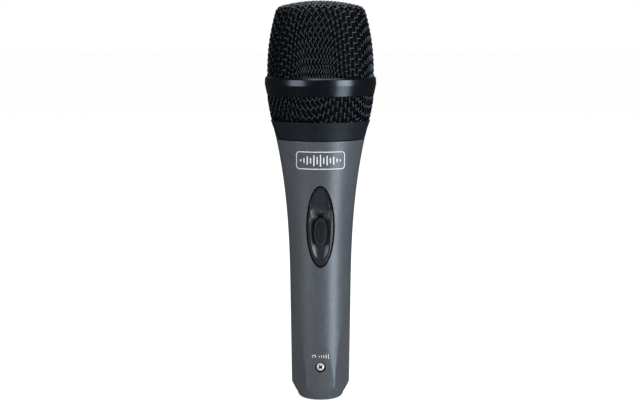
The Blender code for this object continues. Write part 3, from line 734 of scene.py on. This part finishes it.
class Section:
    """A surface of revolution read by the arc length along its section, from its pole."""

    def __init__(self, points):
        points = np.array(points, float)
        lengths = np.r_[0, np.cumsum(np.hypot(*np.diff(points, axis=0).T))]
        self.s = np.linspace(0, lengths[-1], 900)
        self.r = np.interp(self.s, lengths, points[:, 0])
        self.z = np.interp(self.s, lengths, points[:, 1])
        width = 9
        kernel = np.hanning(2 * width + 3)[1:-1]
        for name, mirror in (("r", -1), ("z", 1)):
            values = getattr(self, name)
            beyond = values[-1] + np.gradient(values)[-1] * np.arange(1, width + 1)
            padded = np.r_[mirror * values[width:0:-1], values, beyond]
            setattr(self, name, np.convolve(padded, kernel / kernel.sum(), "valid"))
        self.dr = np.gradient(self.r, self.s)
        self.dz = np.gradient(self.z, self.s)

    def at(self, s):
        return np.interp(s, self.s, self.r), np.interp(s, self.s, self.z)

    def tangent(self, s):
        dr, dz = np.interp(s, self.s, self.dr), np.interp(s, self.s, self.dz)
        size = np.hypot(dr, dz)
        return dr / size, dz / size


def formed_net(section, cell, heading, bunching):
    """A square net pressed over a section: arc lengths, azimuths and which crossings are used.

    Across the crown the net stays square. Down the wall its cells shear, as a woven cloth's do: they
    bunch together and stand tall on the diagonals, and spread around the aligned headings.
    """
    reach = int(section.s[-1] / cell) + 2
    index = np.arange(-reach, reach + 1) * cell
    u, v = np.meshgrid(index, index, indexing="ij")
    distance, direction = np.hypot(u, v), np.arctan2(v, u)
    onset = np.clip((distance - BUNCH_START) / BUNCH_SPAN, 0.0, 1.0)
    onset = bunching * (0.35 * onset * onset * (3 - 2 * onset) + 0.65 * onset)
    drift = DRIFT_BY_4 * np.sin(4 * direction) / 4 + DRIFT_BY_8 * np.sin(8 * direction) / 8
    azimuth = heading + direction + onset * drift
    beyond = distance - WALL_START
    down_wall = (beyond + np.hypot(beyond, WALL_EASE)) / 2
    down_wall -= (hypot(WALL_START, WALL_EASE) - WALL_START) / 2
    s = distance + down_wall * bunching * WALL_STRETCH * np.sin(2 * direction) ** 2
    used = s < section.s[-1]
    return np.clip(s, 0.0, section.s[-1]), azimuth, used


def weave(name, section, net, family, cad_node, limits, sides=8, samples=4):
    """One family of the crimped wires of a plain weave, as tubes whose ends are closed."""
    s, azimuth, used = (values.T for values in net) if family else net
    r, z = section.at(s)
    tr, tz = section.tangent(s)
    middle = np.stack([r * np.sin(azimuth), -r * np.cos(azimuth), z], -1)
    lean = np.where(r < 1e-6, 0.0, -tz)
    normal = np.stack([lean * np.sin(azimuth), -lean * np.cos(azimuth), tr], -1)
    amplitude = WIRE_RADIUS + 0.01
    ring = around(sides)[:, None]
    t = (np.arange(samples) / samples)[:, None]
    verts, faces = [], []
    for row in range(s.shape[0]):
        columns = np.flatnonzero(used[row])
        if len(columns) < 4:
            continue
        knots = np.pad(middle[row, columns], ((1, 1), (0, 0)), "edge")[:, None]
        p0, p1, p2, p3 = (knots[k:len(knots) - 3 + k] for k in range(4))
        curve = 0.5 * (2 * p1 + (p2 - p0) * t + (2 * p0 - 5 * p1 + 4 * p2 - p3) * t ** 2
                       + (3 * p1 - p0 - 3 * p2 + p3) * t ** 3)
        up = normal[row, columns][:, None]
        up = up[:-1] * (1 - t) + up[1:] * t
        up /= np.linalg.norm(up, axis=-1, keepdims=True)
        sign = 1 - 2 * ((row + columns[:-1] + family) % 2)[:, None, None]
        path = curve + up * (sign * amplitude * np.cos(pi * t))
        for points, outs in clipped(path.reshape(-1, 3), up.reshape(-1, 3), *limits):
            along = np.gradient(points, axis=0)
            along /= np.linalg.norm(along, axis=1)[:, None]
            side = np.cross(along, outs)
            side /= np.linalg.norm(side, axis=1)[:, None]
            lift = np.cross(side, along)
            circles = points[:, None] + WIRE_RADIUS * (np.cos(ring) * lift[:, None]
                                                       + np.sin(ring) * side[:, None])
            start = len(verts)
            verts.extend(circles.reshape(-1, 3))
            rings = [range(a, a + sides) for a in range(start, len(verts), sides)]
            for pair in zip(rings, rings[1:]):
                faces += bridged(*pair)
            faces += [tuple(rings[0]), tuple(rings[-1])]
    wires = build_mesh(name, verts, faces)
    dress(wires, "mesh_black", "basket", cad_node, angle=60)


def clipped(path, up, low, high):
    """The stretches of a path between two heights, each ending exactly on the limit."""
    inside = np.r_[False, (path[:, 2] >= low) & (path[:, 2] <= high), False]
    for a, b in np.flatnonzero(inside[1:] != inside[:-1]).reshape(-1, 2):
        if b - a < 3:
            continue
        points, outs = list(path[a:b]), list(up[a:b])
        for at, beyond, front in ((a, a - 1, True), (b - 1, b, False)):
            if 0 <= beyond < len(path):
                limit = low if path[beyond, 2] < low else high
                share = (path[at, 2] - limit) / (path[at, 2] - path[beyond, 2])
                if share > 0.15:
                    end = path[at] + (path[beyond] - path[at]) * share
                    points.insert(0 if front else len(points), end)
                    outs.insert(0 if front else len(outs), up[at])
        yield np.array(points), np.array(outs)


def lower_wall(inset):
    """The lower mesh's outline offset inwards, from its top down."""
    return [(r - inset, z) for r, z in LOWER_MESH_OUTLINE]


def bowl_profile():
    """The lower mesh's section, closed below by the bowl it was pressed from."""
    wall = lower_wall(WEAVE_CENTRE)[::-1]
    floor = [(0.0, wall[0][1] - 7.0)] + arc((wall[0][0] - 7.0, wall[0][1]), 7.0, -90, -12, 10)
    return floor + wall + [(23.0, 146.0)]


def head_weave():
    """Both baskets: the upper one ends inside the ring, the lower one in the ring and the collar."""
    upper = Section(upper_profile(WEAVE_CENTRE, 130.0))
    lower = Section(bowl_profile())
    for node, section, limits, net in (
        ("upper_mesh", upper, (142.2, 200.0), formed_net(upper, 2.3, radians(39), bunching=1.0)),
        ("lower_mesh", lower, (125.95, 141.35), formed_net(lower, 2.35, radians(28), bunching=0.35)),
    ):
        for family, kind in enumerate(("warp", "weft")):
            weave(f"{node}_{kind}", section, net, family, node, limits)


def foam_liner():
    """The foam lining, its skin pitted by open cells."""
    inset = FOAM_OUTSET + FOAM_THICKNESS
    outer = upper_profile(FOAM_OUTSET, 143.0, (26, 6, 24)) + lower_wall(FOAM_OUTSET)
    inner = upper_profile(inset, 143.0, (14, 3, 12)) + lower_wall(inset)
    outline = outer + [((outer[-1][0] + inner[-1][0]) / 2, outer[-1][1] - 0.05)] + inner[::-1]
    foam = turned("foam_lining", outline, 144, closed=False)
    for vertex in foam.data.vertices:
        place = vertex.co / MM
        pit = noise.turbulence(place * 0.9, 3, False)
        flat = Vector((place.x, place.y, 0.0))
        away = flat.normalized() if place.z < 168 else Vector((0, 0, 1))
        vertex.co -= away * min(pit, 1.0) * PIT_DEPTH * MM
    dress(foam, "foam", "liner", "foam_liner", angle=80)


# ---- ring, collar, gasket

def basket_ring():
    outline = [(24.0, 146.3, 0.05), (24.3, 146.35, 0.12), (24.84, 145.5, 0.3), (24.97, 143.0, 0.22)]
    outline += [(24.05, 138.65, 0.35), (23.97, 138.4, 0.05), (23.85, 138.4, 0.03)]
    ring = turned("basket_band", outline + [(23.85, 141.6), (24.0, 142.0)], 192)
    dress(ring, "satin_black", "basket", "basket_ring", angle=30)


def basket_collar():
    def thread(angles, r, z):
        if r > COLLAR_BORE + 0.05 or z < 120.6:
            return r
        turns = z / THREAD_PITCH - angles / (2 * pi)
        return r + 0.22 * (0.5 - 0.5 * np.cos(2 * pi * turns))

    outline = [(21.7, 127.0, 0.1), (22.15, 127.0, 0.2), (22.3, 126.7, 0.15), (21.0, 123.0, 2.0)]
    outline += [(20.0, 119.1, 0.15), (19.8, 118.86, 0.1), (19.0, 118.86, 0.1), (19.0, 120.2, 0.1)]
    outline = filleted(outline + [(COLLAR_BORE, 120.2, 0.1)], True, 5)
    outline += [(COLLAR_BORE, z) for z in np.arange(120.7, 125.1, 0.125)]
    outline += [(COLLAR_BORE, 125.4), (21.7, 125.4)]
    collar = turned("basket_collar_turned", outline, 192, True, thread)
    dress(collar, "collar_black", "basket", "basket_collar", angle=30)


def grooved(r, tops, depth, drops, fillets):
    """A turned part's wall with a groove under each of the heights in tops."""
    (edge, root), inner = fillets, r - depth
    return [point for z in tops for point in (
        (r, z, edge), (inner, z - drops[0], root), (inner, z - drops[1], root), (r, z - drops[2], edge))]


def gasket_and_isolator():
    low, high = 119.0, 119.9
    gasket = turned("neck_gasket_ring", [(17.5, high, 0.2), (18.7, high, 0.3), (18.7, low, 0.3),
                                         (17.5, low, 0.2)], 144)
    dress(gasket, "rubber", "gasket", "neck_gasket")
    rim = NECK_TOP_Z + GAP
    inner, outer = 12.3, NECK_BORE_RADIUS - GAP
    outline = [(inner, rim + 1.5, 0.3), (16.6, rim + 1.5, 0.45), (16.6, rim, 0.2), (outer, rim, 0.1)]
    outline += grooved(outer, np.arange(rim - 1.2, rim - 8.0, -1.7), 0.5, (0.4, 0.9, 1.3), (0.15, 0.15))
    outline += [(outer, rim - 8.3, 0.1), (inner, rim - 8.3, 0.1)]
    dress(turned("capsule_isolator", outline, steps=3), "rubber", "handle", "isolator")


# ---- switch

def plate_front(x, z):
    """The switch plate's face: the handle's skin with a thumb dish that runs out in a ramp at its top."""
    skin = handle_skin(PLATE_SINK)(x, z)
    inside = 1 - (x / DISH_SIZE[0]) ** 2 - ((z - DISH_CENTRE[1]) / DISH_SIZE[2]) ** DISH_END_POWER
    if inside <= 0:
        return skin
    bowl = DISH_CENTRE[0] + DISH_SIZE[1] * sqrt(inside)
    ramp = RAMP_START[0] - RAMP_SLOPE * (z - RAMP_START[1])
    dish = float(soft_least(bowl, ramp, RAMP_BLEND))
    grained = 1 - hypot(x, z - GRAIN_CENTRE_Z) / GRAIN_RADIUS
    if dish > skin and grained > 0:
        fade = min(1.0, 2.0 * grained)
        dish += GRAIN_DEPTH * fade * noise.turbulence(Vector((x, 0.0, z)) * 2.6, 2, True)
    run_out = min(1.0, max(0.0, (z - RUN_OUT_START) / RUN_OUT_SPAN))
    return -float(soft_least(-skin, -dish, BRIM_BLEND + RUN_OUT_BLEND * run_out))


def switch_plate():
    """The oval trim: its dished face, a rounded edge, and a body with two screw bosses behind."""
    half_w, half_h = PLATE_HALF[0] - 0.22, PLATE_HALF[1] - 0.3
    edge = 0.45
    levels = [(share * (half_w - edge), share * (half_h - edge), plate_front)
              for share in np.linspace(0.04, 1.0, 56)]
    for turn in np.linspace(0, pi / 2, 5)[1:]:
        out, drop = edge * sin(turn), edge * (1 - cos(turn))
        levels.append((half_w - edge + out, half_h - edge + out,
                       lambda x, z, drop=drop: handle_skin(PLATE_SINK)(x, z) + drop))
    under = handle_skin(PLATE_SINK + PLATE_FLANGE)
    body = (half_w - PLATE_BODY_INSET, half_h - PLATE_BODY_INSET)
    levels += [(half_w, half_h, under), (*body, under), (*body, handle_skin(PLATE_DEPTH))]
    plate = oval_block("switch_bezel", levels, 1, 200)
    for z in BOSS_Z:
        back = -(handle_radius(z) - PLATE_DEPTH) - 0.5
        carved(plate, rod("boss", (0, back, z), (0, -4.5, z), 2.0), operation="UNION")
        carved(plate, rod("boss_hole", (0, -9.6, z), (0, 0, z), 1.05))
    carved(plate, box("slot", (-1.5, -20.0, 75.5), (1.5, -5.0, 86.2)))
    dress(plate, "plate_plastic", "handle", "switch_plate", angle=32)


def switch_knob():
    """The slide knob: an oval pad whose face is cut with a diamond grip pattern."""
    half_w, half_h = KNOB_HALF[0] - KNOB_DRAFT, KNOB_HALF[1] - KNOB_DRAFT
    across, upright = 72, 150
    width = across + 1
    verts, faces = [], []
    for v in np.linspace(-1.0, 1.0, upright + 1):
        for u in np.linspace(-1.0, 1.0, width):
            x, z = half_w * u * sqrt(1 - v * v / 2), half_h * v * sqrt(1 - u * u / 2)
            level = hypot(x / half_w, z / half_h)
            a = abs(((x + z) / GRIP_PITCH) % 1.0 - 0.5) * 2
            b = abs(((x - z) / GRIP_PITCH) % 1.0 - 0.5) * 2
            grip = GRIP_DEPTH * min(1.0, (1 - level) * 6) * (1 - min(1.0, min(a, b) * 2.2))
            verts.append((x, KNOB_Y[0] + 0.25 * level ** 2 + grip, KNOB_Z + z))
    for j in range(upright):
        faces += [(a, a + 1, a + width + 1, a + width) for a in range(j * width, j * width + across)]
    edge = list(range(width)) + [width * (j + 1) - 1 for j in range(1, upright)]
    edge += list(range(width * (upright + 1) - 1, width * upright - 1, -1))
    edge += [width * j for j in range(upright - 1, 0, -1)]
    rim = [edge]
    for out, y in ((0.08, 0.27), (0.14, 0.36), (0.2, 0.6), (KNOB_DRAFT, KNOB_Y[1] - KNOB_Y[0])):
        rim.append(range(len(verts), len(verts) + len(edge)))
        wide, tall = 1 + out / half_w, 1 + out / half_h
        verts += [(verts[i][0] * wide, KNOB_Y[0] + y, KNOB_Z + (verts[i][2] - KNOB_Z) * tall) for i in edge]
    for pair in zip(rim, rim[1:]):
        faces += bridged(*pair)
    faces.append(tuple(rim[-1]))
    knob = build_mesh("switch_thumb_pad", verts, faces)
    stem = box("stem", (-1.1, -13.6, KNOB_Z - 2.0), (1.1, -9.6, KNOB_Z + 2.0), 0.15)
    carved(knob, stem, operation="UNION")
    carved(knob, box("fork", (-3.0, -11.2, KNOB_Z - 1.05), (3.0, -9.0, KNOB_Z + 1.05)))
    dress(knob, "knob_plastic", "knob", "switch_knob", angle=40)


# ---- screw and connector

def retaining_screw():
    """A pan head with a cross recess, its shank reaching into the connector's insert."""
    r, height = SCREW_HEAD
    outline = [(0.0, height), (r * 0.45, height - 0.02), (r * 0.75, height - 0.14)]
    outline += arc((r - 0.5, height - 0.68), 0.5, 60, 0, 6)
    outline += [(r, 0.12), (r - 0.1, 0.0), (1.1, 0.0)]
    for k in range(10):
        z = -0.3 - 0.4 * k
        outline += [(1.1, z), (0.88, z - 0.2)]
    outline += [(0.6, -4.3), (0.0, -4.3)]
    screw = turned("retaining_screw", outline, 64, closed=False)
    for quarter in range(2):
        bar = box("cross", (-1.25, -0.36, -0.15), (1.25, 0.36, height + 0.3))
        for vertex in bar.data.vertices:
            if vertex.co.z < height * 0.5 * MM:
                vertex.co.x *= 0.45
                vertex.co.y *= 0.75
        bar.data.transform(Matrix.Rotation(quarter * pi / 2, 4, "Z"))
        carved(screw, bar)
    in_recess = [hypot(*face.center[:2]) < 1.3 * MM and -0.2 * MM < face.center.z < (height - 0.12) * MM
                 for face in screw.data.polygons]
    turn = Matrix.Translation((0, SCREW_SEAT_Y * MM, SCREW_Z * MM)) @ Matrix.Rotation(pi / 2, 4, "X")
    screw.data.transform(turn @ Matrix.Rotation(radians(40), 4, "Z"))
    dress(screw, "nickel_screw", "handle", "insert_screw", angle=32)
    # The cross recess's faces take the dark recess material, painted shade.
    screw.data.materials.append(LOOKS["screw_recess"])
    for face, inside in zip(screw.data.polygons, in_recess):
        face.material_index = 1 if inside else 0


# ---- capsule and connector pieces

def span(node):
    """A turned node's outer radius and its lowest and highest z."""
    low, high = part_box(node)
    return high[0] / MM, low[2] / MM, high[2] / MM


def capsule_cap():
    """The perforated front, with a fluted skirt to turn it by."""
    r, low, top = span("capsule_cap")
    flutes = 40

    def fluted(angles, radius, z):
        if radius < r - 0.01 or not low + 2.0 < z < top - 4.6:
            return radius
        return radius - 0.28 * (0.5 - 0.5 * np.cos(flutes * angles)) ** 0.6

    outline = [(0.0, top), (r - 1.8, top - 0.4, 1.2), (r - 0.5, top - 1.2, 0.6), (r, top - 2.6, 1.0)]
    outline += [(r, z) for z in np.arange(top - 4.0, low + 1.4, -0.5)]
    outline += [(r, low, 0.15), (r - 0.6, low, 0.1), (r - 0.6, top - 2.6, 0.4), (r - 1.2, top - 1.6, 0.3)]
    cap = turned("capsule_front", outline + [(0.0, top - 1.2)], 320, False, fluted)
    for count, circle, radius in ((1, 0.0, 1.5), (6, 7.0, 1.5), (12, 10.9, 0.8), (6, 3.6, 0.6)):
        for k in range(count):
            a = 2 * pi * (k + (0.5 if radius < 1 else 0.0)) / count
            x, y = circle * cos(a), circle * sin(a)
            carved(cap, rod("hole", (x, y, top - 4.0), (x, y, top + 2.0), radius, 32))
    dress(cap, "black_plastic", "handle", "capsule_cap", angle=30)


def capsule_body():
    """The cup under the cap, with grooves and a row of rear sound ports."""
    r, low, high = span("capsule_body")
    vent, wall = 5.0, 1.1
    outline = [(r - wall, high, 0.15), (r, high, 0.15)]
    outline += grooved(r, (low + 7.2, low + 6.4), 0.3, (0.12, 0.4, 0.52), (0.08, 0.08))
    outline += [(r, low + 1.0, 0.6), (r - 1.0, low, 0.4), (vent, low, 0.15), (vent, low + wall, 0.15)]
    outline += [(r - wall, low + wall, 0.4)]
    body = turned("capsule_cup", outline, 192)
    ports = 14
    for k in range(ports):
        port = box("port", (-0.75, r - 2.0, low + 2.1), (0.75, r + 1.0, low + 5.0), 0.35)
        port.data.transform(Matrix.Rotation(2 * pi * k / ports, 4, "Z"))
        carved(body, port)
    dress(body, "black_plastic", "handle", "capsule_body", angle=30)


def rear_chamber():
    """The resonance chamber: a moulded tube with turned beads above the rubber isolator."""
    r, low, high = span("rear_chamber")
    outline = [(0.0, low + 1.2), (r - 1.2, low + 1.2, 0.5), (r - 1.2, high, 0.2), (r, high, 0.25)]
    beads = np.arange(high - 2.0, NECK_TOP_Z + 4.0, -1.5)
    outline += grooved(r, beads, 0.3, (0.2, 0.6, 0.8), (0.12, 0.1))
    outline += [(r, low + 0.8, 0.3), (r - 0.8, low, 0.3), (0.0, low)]
    chamber = turned("resonance_chamber", outline, 160, False, steps=3)
    dress(chamber, "black_plastic", "handle", "rear_chamber", angle=30)


def diaphragm():
    """The formed film: a dome, and a surround whose slanted pleats let it travel."""
    _, low, _ = span("diaphragm")
    film, pleats = 0.3, 28
    rise = [(0.0, 3.1), (3.6, 2.5), (6.2, 0.7), (7.2, film), (8.6, 0.9), (10.2, 1.0), (12.1, film)]
    radii = np.r_[np.linspace(0.0, 12.0, 61), 12.1]
    heights = np.interp(radii, *np.array(rise).T)
    heights[1:-1] = (heights[:-2] + 2 * heights[1:-1] + heights[2:]) / 4
    top = [(r, low + h) for r, h in zip(radii, heights)]
    under = [(r, z - film) for r, z in reversed(top)]
    shape = turned("diaphragm_formed", top + under, 224, closed=False)
    for vertex in shape.data.vertices:
        x, y, _ = vertex.co / MM
        r = hypot(x, y)
        fade = max(0.0, min(1.0, (r - 7.6) / 0.8, (11.8 - r) / 0.8))
        vertex.co.z += 0.11 * MM * fade * sin(pleats * atan2(y, x) + 1.6 * r)
    dress(shape, "film", "diaphragm_coil", "diaphragm", angle=50)


def connector():
    """The socket's insert, raised round each pin, and the pins with their solder cups."""
    places = {}
    for name in ("xlr_pin_1", "xlr_pin_2", "xlr_pin_3"):
        low, high = (np.array(corner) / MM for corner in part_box(name))
        middle = (low + high) / 2
        places[name] = (float(middle[0]), float(middle[1]))
        radius, tip, top = float(high[0] - low[0]) / 2, float(low[2]), float(high[2])
        outline = [(0.0, top - 2.0), (0.7, top - 2.0), (0.7, top, 0.1), (radius, top, 0.12)]
        outline += [(radius, 23.1, 0.05), (radius - 0.15, 22.95, 0.05), (radius - 0.15, 22.75, 0.05)]
        outline += [(radius, 22.6, 0.05)] + arc((0.0, tip + radius), radius, 0, -90, 8)
        pin = turned(name + "_turned", outline, 48, False, steps=3)
        pin.data.transform(Matrix.Translation(middle * (1, 1, 0) * MM))
        x, y = places[name]
        carved(pin, box("cup", (x - 2.0, y + 0.15, top - 1.6), (x + 2.0, y + 2.0, top + 1.0)))
        dress(pin, "silver_pin", "handle", name, angle=30)
    r, low, high = span("xlr_insert")
    outline = [(0.0, high), (r - 0.4, high, 0.2), (r, high - 0.4, 0.2), (r, low + 0.4, 0.2)]
    outline += [(r - 0.4, low, 0.2), (r - 1.3, low, 0.15), (r - 1.5, low + 0.5, 0.15), (0.0, low + 0.5)]
    insert = turned("socket_insert", outline, 144, False)
    for x, y in places.values():
        carved(insert, rod("boss", (x, y, low + 0.1), (x, y, low + 1.5), 2.0), operation="UNION")
    for x, y in places.values():
        carved(insert, rod("pin_hole", (x, y, 5.0), (x, y, 30.0), 1.5, 40))
    carved(insert, rod("insert_thread", (0, -12.0, SCREW_Z), (0, -6.2, SCREW_Z), 1.4, 40))
    dress(insert, "black_plastic", "handle", "xlr_insert", angle=30)


# ---- carried-over CAD nodes

def dress_cad_nodes():
    """Every CAD node that is shown as it is gets its slot's material."""
    slots = {part["node"]: part["material_slot"] for part in frame["record"]["subparts"]}
    for name, node in NODES.items():
        if node.hide_render:
            continue
        node.data.materials.clear()
        node.data.materials.append(LOOKS[slots[name]])


# ---- stage

def area_light(name, azimuth, elevation, distance, size, power, colour=(1, 1, 1)):
    """A soft box that faces the middle of the object. Its distance and size are in metres."""
    a, e = radians(azimuth), radians(elevation)
    way = Vector((sin(a) * cos(e), -cos(a) * cos(e), sin(e)))
    data = bpy.data.lights.new(name, "AREA")
    data.shape = "RECTANGLE"
    data.size, data.size_y = size
    data.energy = power
    data.color = colour
    light = placed(name, data)
    light.location = Vector((0.0, 0.0, TOTAL_HEIGHT / 2 * MM)) + way * distance
    light.rotation_euler = way.to_track_quat("Z", "Y").to_euler()


def glow(name, strength, albedo=0.0):
    """A surface that shines evenly and has no gloss."""
    return Recipe(name).done({
        "Base Color": (albedo, albedo, albedo),
        "Roughness": 0.9,
        "Specular IOR Level": 0.0,
        "Emission Color": (1.0, 1.0, 1.0),
        "Emission Strength": strength,
    })


def studio():
    world = bpy.data.worlds.new("studio")
    world.use_nodes = True
    sky = world.node_tree.nodes["Background"].inputs
    sky["Color"].default_value = (0.93, 0.96, 1.0, 1.0)
    sky["Strength"].default_value = 0.05
    bpy.context.scene.world = world
    area_light("right_strip", 50, -3, 1.0, (0.46, 1.35), 7.8, colour=(0.9, 0.95, 1.0))
    area_light("right_soft_box", 50, 11, 1.0, (0.55, 0.5), 3.2)
    area_light("left_soft_box", -50, 11, 1.0, (0.55, 0.55), 3.5)
    area_light("top_soft_box", 20, 82, 1.0, (0.8, 0.6), 5.2)
    area_light("rear_soft_box", 180, 40, 1.1, (1.0, 0.8), 6.0)

    shape = bmesh.new()
    bmesh.ops.create_circle(shape, cap_ends=True, segments=96, radius=6.0)
    floor = bmesh_object("floor", shape)
    floor.location.z = -0.0002
    floor.data.materials.append(glow("pale_floor", 0.97, albedo=0.3))
    floor.visible_glossy = False
    floor.visible_shadow = False
    shape = bmesh.new()
    bmesh.ops.create_uvsphere(shape, u_segments=48, v_segments=24, radius=7.0)
    backdrop = bmesh_object("backdrop", shape)
    backdrop.data.materials.append(glow("white_backdrop", 1.0))
    for ray in ("diffuse", "glossy", "transmission", "volume_scatter", "shadow"):
        setattr(backdrop, f"visible_{ray}", False)


def camera():
    """Looks at the middle of the object from 7.5 degrees above its horizon."""
    data = bpy.data.cameras.new("camera")
    data.lens = 78.75
    data.sensor_width = 36.0
    data.clip_start, data.clip_end = 0.01, 50.0
    cam = placed("camera", data)
    aim = Vector((-0.00022, 0.0, 0.09046))
    tilt = radians(7.5)
    back = Vector((0.0, -cos(tilt), sin(tilt)))
    cam.location = aim + back * 0.6337
    cam.rotation_euler = back.to_track_quat("Z", "Y").to_euler()
    bpy.context.scene.camera = cam


LOOKS = make_looks()
handle_shell()
printed_marks()
switch_plate()
switch_knob()
retaining_screw()
basket_ring()
basket_collar()
gasket_and_isolator()
capsule_cap()
capsule_body()
rear_chamber()
diaphragm()
connector()
head_weave()
foam_liner()
dress_cad_nodes()
studio()
camera()
bpy.context.scene.view_settings.view_transform = "Standard"
